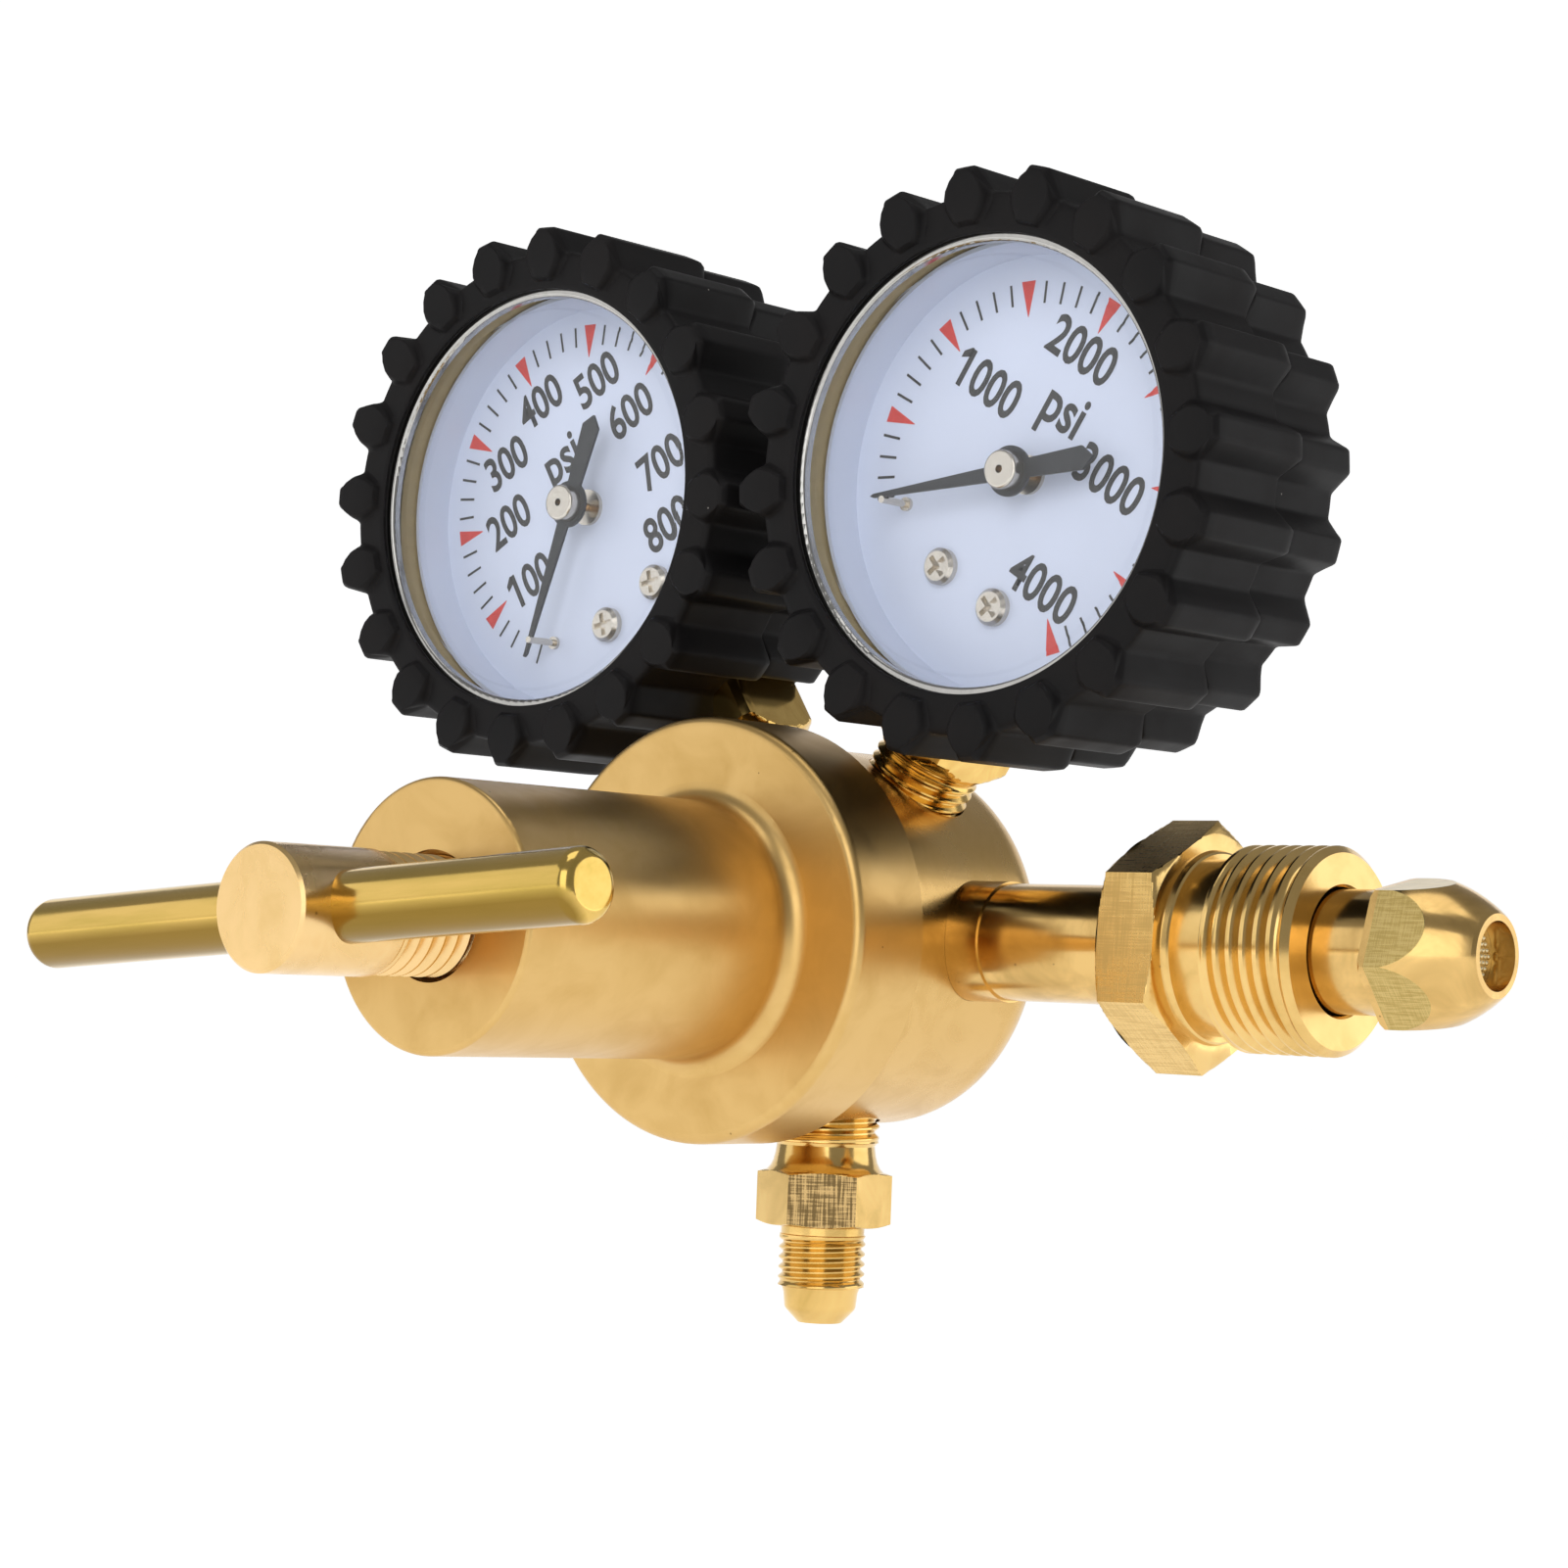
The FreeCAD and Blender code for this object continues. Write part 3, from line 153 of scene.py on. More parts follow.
def turnedPiece(name, place, parts, closed=True):
    # point = origin + along * s + radius * (cos a * start + sin a * side)
    s = np.vstack([part[0] for part in parts])
    radius = np.vstack([part[1] for part in parts])
    seams = []
    for part in parts:
        first = sum(len(seam) for seam in seams)
        count = len(part[0])
        shift = part[2] if len(part) > 2 else 0
        seams.append(first + np.minimum(np.arange(count) + shift, count - 1))
    origin, along, start, side = place
    turn = angles(s.shape[1])
    ring = np.cos(turn)[:, None] * start + np.sin(turn)[:, None] * side
    points = origin + s[..., None] * along + radius[..., None] * ring[None, :, :]
    return meshFromGrid(name, points, closed, seamRows=np.concatenate(seams))


def angles(columns):
    # angle = full turn * column / columns
    return 2 * math.pi * np.arange(columns) / columns


def run(steps, columns=96):
    # rows through (along, radius) corners
    s = np.array([step[0] for step in steps], float)[:, None]
    radius = np.array([step[1] for step in steps], float)[:, None]
    return np.repeat(s, columns, axis=1), np.repeat(radius, columns, axis=1)


def threadRows(start, end, major, depth, pitch, columns=96, perTurn=14, fade=0.7):
    # rows climb one pitch in each turn, so that the crest runs along one row; s stays between start and end
    # radius = major - depth * (1 - wave), the wave being 1 on the crest's flat and 0 on the root's
    rows = int(math.ceil((abs(end - start) / pitch + 1) * perTurn)) + 1
    row = np.arange(rows)[:, None]
    climb = pitch * (row / perTurn + np.arange(columns)[None, :] / columns - 1)
    s = np.clip(start + climb, start, end)
    phase = np.mod(row / perTurn, 1.0)
    flat = 2.0 / perTurn
    wave = np.clip((np.abs(phase - 0.5) * 2 - flat) / (1 - 2 * flat), 0.0, 1.0)
    room = np.minimum(s - start, end - s) / (pitch * fade)
    return s, major - depth * (1 - wave) * np.clip(room, 0.0, 1.0), perTurn


def facetRows(start, end, flats, sides, chamfer, endRadius, columns=96):
    # radius = half the flats / cos(angle from the flat's middle), never above the chamfer's cone
    sector = 2 * math.pi / sides
    turn = np.mod(angles(columns), sector) - sector / 2
    prism = flats / 2 / np.cos(turn)
    inset = np.concatenate([np.linspace(0, chamfer, 7), np.linspace(chamfer, 0, 7)])
    s = np.concatenate([np.linspace(start, start + chamfer, 7), np.linspace(end - chamfer, end, 7)])
    cornerRadius = flats / 2 / math.cos(sector / 2)
    cone = endRadius + (cornerRadius - endRadius) * inset / chamfer
    return np.repeat(s[:, None], columns, axis=1), np.minimum(prism[None, :], cone[:, None])


# Shader groups

def newGroup(name, inputs, outputs):
    # a vector input, number inputs with their usual values, and number outputs
    group = bpy.data.node_groups.new(name, "ShaderNodeTree")
    group.interface.new_socket("Vector", in_out="INPUT", socket_type="NodeSocketVector")
    for socket, value in inputs.items():
        group.interface.new_socket(socket, in_out="INPUT", socket_type="NodeSocketFloat").default_value = value
    for socket in outputs:
        group.interface.new_socket(socket, in_out="OUTPUT", socket_type="NodeSocketFloat")
    return group, group.nodes.new("NodeGroupInput").outputs, group.nodes.new("NodeGroupOutput")


def setInputs(tree, node, values):
    # a number or a colour is set on the input of that name, anything else is linked to it
    for name, value in values.items():
        if isinstance(value, (int, float)):
            node.inputs[name].default_value = value
        elif isinstance(value, tuple):
            node.inputs[name].default_value = (*value, 1.0)
        else:
            tree.links.new(value, node.inputs[name])


def addNode(tree, kind, values, **settings):
    # the settings go first, because they decide which inputs the node has
    node = tree.nodes.new("ShaderNode" + kind)
    for name, value in settings.items():
        setattr(node, name, value)
    setInputs(tree, node, values)
    return node


def addMath(tree, operation, *values):
    # one operation on numbers or outputs
    return addNode(tree, "Math", dict(enumerate(values)), operation=operation).outputs[0]


def splitVector(tree, vector):
    # x, y and z of a place
    return addNode(tree, "SeparateXYZ", {0: vector}).outputs


def stretchVector(tree, vector, stretch):
    # place times stretch, axis by axis; a small factor draws a pattern out along that axis
    node = addNode(tree, "VectorMath", {0: vector}, operation="MULTIPLY")
    node.inputs[1].default_value = stretch
    return node.outputs[0]


def addNoise(tree, vector, scale, detail=2.0, roughness=0.5, distortion=0.0):
    # smooth random value of the place times the scale, near 0.5 on average
    return addNode(tree, "TexNoise", {"Vector": vector, "Scale": scale, "Detail": detail, "Roughness": roughness,
                                      "Distortion": distortion}).outputs["Fac"]


def addRange(tree, value, low, high, outLow=0.0, outHigh=1.0):
    # result = outLow + (outHigh - outLow) * (value - low) / (high - low), held between the two
    return addNode(tree, "MapRange", {"Value": value, "From Min": low, "From Max": high, "To Min": outLow,
                                      "To Max": outHigh}).outputs["Result"]


def makeToolMarks():
    # fine lines round the turning axis, which is Z in the incoming coordinates, and slow stains
    # line pattern = noise(radius * lines, z * lines, angle * 0.6), stain pattern = noise of the place
    group, given, result = newGroup("toolMarks", {"Lines per metre": 6000.0}, ("Lines", "Stains"))
    lines = given["Lines per metre"]
    x, y, z = splitVector(group, given["Vector"])
    radius = addMath(group, "SQRT", addMath(group, "ADD", addMath(group, "MULTIPLY", x, x),
                                            addMath(group, "MULTIPLY", y, y)))
    join = addNode(group, "CombineXYZ", {
        0: addMath(group, "MULTIPLY", radius, lines), 1: addMath(group, "MULTIPLY", z, lines),
        2: addMath(group, "MULTIPLY", addMath(group, "ARCTAN2", y, x), 0.6)})
    setInputs(group, result, {"Lines": addNoise(group, join.outputs[0], 1.0, 2.0, 0.6),
                              "Stains": addNoise(group, given["Vector"], 130.0, 4.0, 0.6, 0.6)})
    return group


def makeMillMarks():
    # crossing sets of fine cuts: the mean of three noises, each drawn out along all but one axis
    group, given, result = newGroup("millMarks", {"Cuts per metre": 5000.0}, ("Cuts",))
    sets = [addNoise(group, stretchVector(group, given["Vector"], stretch), given["Cuts per metre"], 1.0, 0.5)
            for stretch in ((1.0, 0.04, 0.04), (0.04, 1.0, 0.04), (0.04, 0.04, 1.0))]
    total = addMath(group, "ADD", addMath(group, "ADD", sets[0], sets[1]), sets[2])
    setInputs(group, result, {"Cuts": addMath(group, "MULTIPLY", total, 0.333)})
    return group


def makeSpecks():
    # small scattered dots: near a cell's point, and only in some cells
    group, given, result = newGroup("specks", {"Cells per metre": 500.0, "Dot size": 0.06, "Share": 0.3}, ("Mask",))
    cells = addNode(group, "TexVoronoi", {"Vector": given["Vector"], "Scale": given["Cells per metre"]}).outputs
    near = addMath(group, "LESS_THAN", cells["Distance"], given["Dot size"])
    red = addNode(group, "SeparateColor", {0: cells["Color"]}).outputs[0]
    chosen = addMath(group, "LESS_THAN", red, given["Share"])
    setInputs(group, result, {"Mask": addMath(group, "MULTIPLY", near, chosen)})
    return group


def makeDrawnMarks():
    # broad and fine streaks: noise of a place that is squeezed along Z
    group, given, result = newGroup("drawnMarks", {"Streaks per metre": 400.0}, ("Streaks", "Scratches"))
    for socket, stretch, detail, factor in (("Streaks", 0.10, 4.0, 1.0), ("Scratches", 0.015, 2.0, 9.0)):
        stretched = stretchVector(group, given["Vector"], (1.0, 1.0, stretch))
        scale = addMath(group, "MULTIPLY", given["Streaks per metre"], factor)
        setInputs(group, result, {socket: addNoise(group, stretched, scale, detail, 0.6)})
    return group


toolMarks = makeToolMarks()
millMarks = makeMillMarks()
drawnMarks = makeDrawnMarks()
specks = makeSpecks()
print("shader groups made")


# Materials

materials = {}


def startMaterial(name, centre=(0, 0, 0), turn=(0, 0, 0)):
    # Object coordinates, moved and turned so that the piece's own axis is Z
    materials[name] = bpy.data.materials.new(name)
    materials[name].use_nodes = True
    tree = materials[name].node_tree
    coordinates = tree.nodes.new("ShaderNodeTexCoord")
    mapping = addNode(tree, "Mapping", {"Vector": coordinates.outputs["Object"]}, vector_type="TEXTURE")
    mapping.inputs["Location"].default_value = [value * mm for value in centre]
    mapping.inputs["Rotation"].default_value = turn
    return tree, tree.nodes["Principled BSDF"], mapping.outputs["Vector"]


def addGroup(tree, group, vector, **values):
    # the outputs of a group's node, its number inputs set
    numbers = {name.replace("_", " "): value for name, value in values.items()}
    return addNode(tree, "Group", {"Vector": vector, **numbers}, node_tree=group).outputs


def addMix(tree, factor, first, second):
    # colour = first * (1 - factor) + second * factor
    return addNode(tree, "Mix", {"Factor": factor, "A": first, "B": second}, data_type="RGBA").outputs["Result"]


def addBump(tree, shader, height, distance, strength=1.0):
    # the normal tilts with the slope of height * distance, the distance being in millimetres
    bump = addNode(tree, "Bump", {"Distance": distance * mm, "Strength": strength, "Height": height})
    tree.links.new(bump.outputs["Normal"], shader.inputs["Normal"])


alongY = (-math.pi / 2, 0, 0)
alongX = (0, math.pi / 2, 0)
turned = {"lines": 13000.0, "lineDepth": 0.0014, "pits": 0.05, "centre": (bodyX, 0, 0), "turn": alongY}
brassFinishes = {
    "turnedBrass": {**turned, "light": (0.67, 0.44, 0.165), "dark": (0.60, 0.38, 0.125), "rough": 0.36},
    "bodyBrass": {**turned, "light": (0.66, 0.43, 0.16), "dark": (0.56, 0.35, 0.11), "rough": 0.27},
    "screwBrass": {**turned, "light": (0.82, 0.565, 0.26), "dark": (0.70, 0.47, 0.18), "rough": 0.26,
                   "lines": 11000.0, "lineDepth": 0.0018},
    "nutBrass": {**turned, "light": (0.78, 0.53, 0.20), "dark": (0.60, 0.38, 0.115), "rough": 0.19,
                 "lines": 9000.0, "lineDepth": 0.0016, "pits": 0.10, "centre": (0, 0, 0), "turn": alongX},
    "nippleBrass": {**turned, "light": (0.72, 0.475, 0.175), "dark": (0.42, 0.26, 0.08), "rough": 0.18,
                    "lines": 7000.0, "pits": 0.25, "centre": (0, 0, 0), "turn": alongX,
                    "flats": {"across": 16.0, "slack": 0.03, "turn": 11.0, "start": 14.1, "cuts": 9000.0,
                              "light": (0.56, 0.42, 0.16), "dark": (0.43, 0.31, 0.10)}},
    "outletBrass": {**turned, "light": (0.76, 0.51, 0.18), "dark": (0.54, 0.34, 0.09), "rough": 0.16,
                    "lines": 8000.0, "pits": 0.10, "turn": (0, 0, 0)}}
for side in gauges:
    brassFinishes[side + "StemBrass"] = {
        **turned, "light": (0.82, 0.55, 0.17), "dark": (0.52, 0.29, 0.06), "rough": 0.15, "lines": 6000.0,
        "pits": 0.08, "turn": (0, gauges[side]["lean"], 0)}
pitLook = {"cells": 420.0, "size": 0.07, "cover": 0.6, "colour": (0.16, 0.09, 0.03)}


def addFlatMask(tree, vector, flats):
    # 1 on a hexagon's faces: the largest distance along its three directions reaches half the width across flats
    x, y, z = splitVector(tree, vector)
    largest = 0.0
    for step in range(3):
        angle = math.radians(flats["turn"] + 60 * step)
        across = addMath(tree, "ADD", addMath(tree, "MULTIPLY", x, math.cos(angle)),
                         addMath(tree, "MULTIPLY", y, math.sin(angle)))
        largest = addMath(tree, "MAXIMUM", addMath(tree, "ABSOLUTE", across), largest)
    onFlat = addMath(tree, "GREATER_THAN", largest, (flats["across"] / 2 - flats["slack"]) * mm)
    return addMath(tree, "MULTIPLY", onFlat, addMath(tree, "GREATER_THAN", z, flats["start"] * mm))


def makeBrass(name, finish):
    # base colour from stains, roughness and bump from tool marks, small dark pits
    tree, shader, vector = startMaterial(name, finish["centre"], finish["turn"])
    marks = addGroup(tree, toolMarks, vector, Lines_per_metre=finish["lines"])
    stains = addRange(tree, marks["Stains"], 0.40, 0.75, 0.0, 0.9)
    pits = addGroup(tree, specks, vector, Cells_per_metre=pitLook["cells"], Dot_size=pitLook["size"],
                    Share=finish["pits"])
    pitMask = addMath(tree, "MULTIPLY", pits["Mask"], pitLook["cover"])
    colour = addMix(tree, pitMask, addMix(tree, stains, finish["light"], finish["dark"]), pitLook["colour"])
    if "flats" in finish:
        flats = finish["flats"]
        cuts = addGroup(tree, millMarks, vector, Cuts_per_metre=flats["cuts"])
        milled = addMix(tree, addRange(tree, cuts["Cuts"], 0.44, 0.56), flats["dark"], flats["light"])
        colour = addMix(tree, addFlatMask(tree, vector, flats), colour, milled)
    rough = addRange(tree, marks["Stains"], 0.3, 0.7, finish["rough"] - 0.04, finish["rough"] + 0.05)
    setInputs(tree, shader, {"Base Color": colour, "Roughness": rough, "Metallic": 1.0})
    addBump(tree, shader, marks["Lines"], finish["lineDepth"], 0.8)


milledFinishes = {
    "nutFlatBrass": {"light": (0.76, 0.52, 0.19), "dark": (0.44, 0.28, 0.08), "share": 0.35, "rough": 0.27,
                     "cuts": 5200.0, "cutDepth": 0.003},
    # the outlet's flat finish is mostly dark: painted shade for its one front flat, over real crossing cuts
    "outletFlatPaintedShade": {"light": (0.46, 0.31, 0.13), "dark": (0.10, 0.065, 0.025), "share": 0.85, "rough": 0.24,
                        "cuts": 5600.0, "cutDepth": 0.006}}


def makeMilledBrass(name, finish):
    # flats with two crossing sets of cuts, the cuts a little darker
    tree, shader, vector = startMaterial(name)
    marks = addGroup(tree, millMarks, vector, Cuts_per_metre=finish["cuts"])
    depth = addRange(tree, marks["Cuts"], 0.44, 0.56)
    shade = addMath(tree, "MULTIPLY", addMath(tree, "SUBTRACT", 1.0, depth), finish["share"])
    rough = addRange(tree, depth, 0.0, 1.0, finish["rough"] + 0.12, finish["rough"])
    setInputs(tree, shader, {"Base Color": addMix(tree, shade, finish["light"], finish["dark"]),
                             "Roughness": rough, "Metallic": 1.0})
    addBump(tree, shader, depth, finish["cutDepth"], 0.8)


# the bar's dark band colour, its start and its full place: painted shade low on the bar's front
bar = {"light": (0.70, 0.47, 0.13), "olive": (0.55, 0.39, 0.085), "paintedShade": (0.19, 0.11, 0.014), "rough": 0.14,
       "bandStart": 3.9, "bandFull": 5.3, "tilt": 85.4}


def makeBarBrass():
    # drawn bar: streaks along it, and a band of painted shade low on its front, where x - y is largest across the
    # bar
    tree, shader, vector = startMaterial("barBrass", (bodyX, middle("t_bar", 1), 0),
                                         (0, math.radians(bar["tilt"]), 0))
    marks = addGroup(tree, drawnMarks, vector)
    low = addMath(tree, "SUBTRACT", *splitVector(tree, vector)[:2])
    # painted shade: the band darkens the bar low on its front
    band = addRange(tree, low, bar["bandStart"] * mm, bar["bandFull"] * mm, 0.0, 0.85)
    streaks = addRange(tree, marks["Streaks"], 0.40, 0.68, 0.0, 0.85)
    colour = addMix(tree, streaks, bar["light"], bar["olive"])
    rough = addRange(tree, marks["Streaks"], 0.3, 0.7, bar["rough"] - 0.04, bar["rough"] + 0.08)
    setInputs(tree, shader, {"Base Color": addMix(tree, band, colour, bar["paintedShade"]), "Roughness": rough,
                             "Metallic": 1.0})
    addBump(tree, shader, marks["Scratches"], 0.002, 0.7)


def makeMetal(name, colour, rough, metallic=1.0, grain=900.0, depth=0.002):
    # colour falls by up to a tenth, and roughness changes by a fifth, with one fine noise
    tree, shader, vector = startMaterial(name)
    noise = addNoise(tree, vector, grain, 3.0, 0.6)
    shade = addMix(tree, addRange(tree, noise, 0.3, 0.7, 0.0, 0.35), colour, tuple(value * 0.7 for value in colour))
    setInputs(tree, shader, {"Base Color": shade, "Metallic": metallic,
                             "Roughness": addRange(tree, noise, 0.3, 0.7, rough * 0.8, rough * 1.2)})
    addBump(tree, shader, noise, depth, 0.5)


plainLooks = {
    "nickel": ((0.64, 0.59, 0.51), 0.22), "bezelChrome": ((0.46, 0.45, 0.43), 0.16),
    "springSteel": ((0.42, 0.42, 0.44), 0.30), "tubeBronze": ((0.66, 0.42, 0.20), 0.30),
    "filterBronze": ((0.72, 0.60, 0.36), 0.35), "caseOlive": ((0.42, 0.32, 0.15), 0.45, 0.0),
    "pointerBlack": ((0.020, 0.021, 0.023), 0.45, 0.0)}
for name, finish in brassFinishes.items():
    makeBrass(name, finish)
for name, finish in milledFinishes.items():
    makeMilledBrass(name, finish)
makeBarBrass()
for name, look in plainLooks.items():
    makeMetal(name, *look)

rubberLook = {"colour": (0.0090, 0.0084, 0.0088), "worn": (0.017, 0.015, 0.015), "dust": (0.30, 0.28, 0.26),
              "rough": 0.55, "specular": 0.12, "grain": 1400.0, "grainDepth": 0.02, "dustCells": 420.0,
              "dustSize": 0.045, "dustShare": 0.07}


def makeRubber(name, look):
    # black with slow worn patches, a leathery grain in the bump and a few specks of dust
    tree, shader, vector = startMaterial(name)
    worn = addRange(tree, addNoise(tree, vector, 90.0, 4.0, 0.6), 0.4, 0.75, 0.0, 0.8)
    dust = addGroup(tree, specks, vector, Cells_per_metre=look["dustCells"], Dot_size=look["dustSize"],
                    Share=look["dustShare"])
    colour = addMix(tree, dust["Mask"], addMix(tree, worn, look["colour"], look["worn"]), look["dust"])
    rough = addRange(tree, worn, 0.0, 1.0, look["rough"] - 0.08, look["rough"] + 0.12)
    setInputs(tree, shader, {"Base Color": colour, "Roughness": rough, "Specular IOR Level": look["specular"]})
    addBump(tree, shader, addNoise(tree, vector, look["grain"], 3.0, 0.6), look["grainDepth"], 0.35)


makeRubber("bootRubber", rubberLook)

dialLook = {"colour": (0.60, 0.65, 0.78), "shade": (0.52, 0.56, 0.67), "ink": (0.030, 0.029, 0.028),
            "red": (0.58, 0.045, 0.035)}


def makeDialWhite():
    # enamel: two close shades in slow clouds, with a very fine bump
    tree, shader, vector = startMaterial("dialWhite")
    cloud = addRange(tree, addNoise(tree, vector, 60.0, 2.0, 0.5), 0.3, 0.7, 0.0, 0.35)
    setInputs(tree, shader, {"Base Color": addMix(tree, cloud, dialLook["colour"], dialLook["shade"]),
                             "Roughness": 0.42})
    addBump(tree, shader, addNoise(tree, vector, 2500.0, 2.0, 0.5), 0.003, 0.3)


def makeInk(name, colour):
    # printed colour, a little faded where a fine noise is high
    tree, shader, vector = startMaterial(name)
    fade = addRange(tree, addNoise(tree, vector, 1500.0, 2.0, 0.6), 0.45, 0.8, 0.0, 0.25)
    faded = tuple(value * 1.8 + 0.02 for value in colour)
    setInputs(tree, shader, {"Base Color": addMix(tree, fade, colour, faded), "Roughness": 0.45})


makeDialWhite()
makeInk("ink", dialLook["ink"])
makeInk("redInk", dialLook["red"])

lensLook = {"rough": 0.03, "smearRough": 0.22, "tint": (0.97, 0.98, 1.0), "bend": 1.01, "coat": 0.5}


def makeLens():
    # clear plastic that lets shadow rays through, with faint smears in its roughness
    tree, shader, vector = startMaterial("clearLens")
    smear = addRange(tree, addNoise(tree, vector, 130.0, 5.0, 0.75, 1.2), 0.60, 0.80,
                     lensLook["rough"], lensLook["smearRough"])
    setInputs(tree, shader, {"Base Color": lensLook["tint"], "Roughness": smear, "Transmission Weight": 1.0,
                             "IOR": lensLook["bend"], "Coat Weight": lensLook["coat"]})
    clear = tree.nodes.new("ShaderNodeBsdfTransparent")
    path = tree.nodes.new("ShaderNodeLightPath")
    mix = addNode(tree, "MixShader", {0: path.outputs["Is Shadow Ray"], 1: shader.outputs[0], 2: clear.outputs[0]})
    tree.links.new(mix.outputs[0], tree.nodes["Material Output"].inputs["Surface"])


makeLens()
print("materials made:", len(materials))

# each look with the nodes that have it, and the same for one gauge
nodeLooks = {
    "bodyBrass": "body", "turnedBrass": "bonnet diaphragm_plate spring_button valve_nozzle valve_poppet",
    "bootRubber": "diaphragm", "springSteel": "slip_ring adjusting_spring poppet_spring",
    "screwBrass": "adjusting_screw", "barBrass": "t_bar", "nippleBrass": "inlet_nipple",
    "filterBronze": "inlet_filter", "nutBrass": "inlet_nut", "outletBrass": "outlet_fitting"}
gaugeLooks = {
    "bootRubber": "boot", "caseOlive": "case", "bezelChrome": "bezel", "clearLens": "lens", "dialWhite": "dial",
    "nickel": "bushing stop_pin dial_screws pointer_cap", "pointerBlack": "pointer",
    "tubeBronze": "pointer_arbor sector_gear link movement_frame hairspring bourdon_tube"}


def dressNodes(looks, prefix=""):
    # names are separated by blanks, and the prefix is a gauge's side
    for look, names in looks.items():
        for name in names.split():
            nodes[prefix + name].data.materials.clear()
            nodes[prefix + name].data.materials.append(materials[look])


dressNodes(nodeLooks)
for side in gauges:
    dressNodes({**gaugeLooks, side + "StemBrass": "socket"}, side + "_")


def finishPiece(piece, look, body, slot, *replaced):
    # material and body of a piece, and the nodes that it stands for, which are hidden; slot is not used
    piece.data.materials.append(materials[look])
    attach(piece, body)
    if replaced:
        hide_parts(*replaced)


def finishFlats(piece, look, axis, low, high, facing=None, mostLean=0.2, leastFacing=0.9):
    # the second finish goes on faces between two places along an axis whose normals lie square to that axis;
    # where a facing direction is given, only the flat that looks that way gets it
    piece.data.materials.append(materials[look])
    mesh = piece.data
    centres, normals = np.empty((2, len(mesh.polygons), 3))
    mesh.polygons.foreach_get("center", centres.ravel())
    mesh.polygons.foreach_get("normal", normals.ravel())
    along = centres[:, axis] / mm
    flat = (along > low) & (along < high) & (np.abs(normals[:, axis]) < mostLean)
    if facing is not None:
        flat &= normals @ np.array(facing) > leastFacing
    mesh.polygons.foreach_set("material_index", flat.astype(np.int32))
    mesh.update()


# Adjusting screw: turned head and a helical thread that runs into the bonnet

screw = {"headRadius": 7.2, "headLength": 15.8, "edge": 0.35, "threadRadius": 7.0, "threadDepth": 0.95,
         "pitch": 1.9, "tipRadius": 3.2, "tipLength": 3.2, "slope": 3.8}


def makeScrew():
    # profile from the head's face at the front to the tip that presses on the spring button
    front, end = lowest("adjusting_screw", 1), highest("adjusting_screw", 1)
    neck = front + screw["headLength"]
    tip = end - screw["tipLength"]
    radius = screw["headRadius"]
    parts = [
        run([(front, 0.0), (front, radius - screw["edge"])]),
        run([(front + screw["edge"], radius), (neck - 0.2, radius), (neck, radius - 0.2),
             (neck, screw["threadRadius"] - 0.3)]),
        threadRows(neck, tip - screw["slope"], screw["threadRadius"], screw["threadDepth"], screw["pitch"]),
        run([(tip, screw["tipRadius"]), (end, screw["tipRadius"]), (end, 0.0)])]
    place = axisPlace((bodyX, 0, 0), (0, 1, 0), (0, 0, 1))
    return turnedPiece("screw_threaded", place, parts, closed=False)


finishPiece(makeScrew(), "screwBrass", "handle", "polished_brass", "adjusting_screw")


# Inlet nut: chamfered hexagon, relief groove and helical thread

nut = {"hexLength": 7.95, "flats": 26.3, "chamfer": 0.7, "faceRadius": 13.3, "cornerTurn": 3.3,
       "reliefRadius": 10.5, "reliefLength": 5.7, "ringRadius": 11.4, "ringLength": 0.9, "threadRadius": 12.25,
       "threadDepth": 0.95, "pitch": 1.814, "edge": 0.8, "mouthRadius": 7.5, "boreRadius": 7.31}


def makeNut():
    # profile from the hexagon's back face to the thread's end, then back through the mouth and the bore
    start, end = lowest("inlet_nut", 0), highest("inlet_nut", 0)
    bore, mouth, ring, relief = nut["boreRadius"], nut["mouthRadius"], nut["ringRadius"], nut["reliefRadius"]
    face = start + nut["hexLength"]
    ringEnd = face + nut["ringLength"]
    thread = face + nut["reliefLength"]
    parts = [
        run([(start + 0.3, bore), (start, bore + 0.3), (start, nut["faceRadius"])]),
        facetRows(start, face, nut["flats"], 6, nut["chamfer"], nut["faceRadius"]),
        run([(face, ring + 0.2), (ringEnd - 0.2, ring), (ringEnd, ring - 0.25), (ringEnd, relief),
             (thread - 0.7, relief)]),
        threadRows(thread, end - nut["edge"], nut["threadRadius"], nut["threadDepth"], nut["pitch"]),
        run([(end, nut["threadRadius"] - nut["edge"]), (end, mouth + 0.3), (end - 0.3, mouth), (face, mouth),
             (face - 0.3, bore)])]
    turn = math.radians(nut["cornerTurn"])
    place = axisPlace((0, 0, 0), (1, 0, 0), (0, math.sin(turn), math.cos(turn)))
    return turnedPiece("nut_threaded", place, parts)


nutPiece = makeNut()
finishPiece(nutPiece, "nutBrass", "nut", "machined_brass", "inlet_nut")
finishFlats(nutPiece, "nutFlatBrass", 0, lowest("inlet_nut", 0), lowest("inlet_nut", 0) + nut["hexLength"])


# Outlet fitting: pipe thread, cone, hexagon, flare thread and 45 degree cone

outlet = {"bore": 2.2, "rootZ": 14.5, "pipeRadius": 6.8, "pipeDepth": 0.55, "pipePitch": 1.41, "pipeEnd": 26.2,
          "collarRadius": 6.3, "baseRadius": 7.5, "hexZ": 30.0, "hexLength": 6.9, "flats": 15.0, "chamfer": 0.35,
          "neckRadius": 5.35, "neckLength": 1.25, "threadRadius": 5.55, "threadDepth": 0.5, "pitch": 1.27,
          "threadLength": 6.5, "shoulderRadius": 4.6, "endRadius": 2.85, "flatFaces": 37.6}


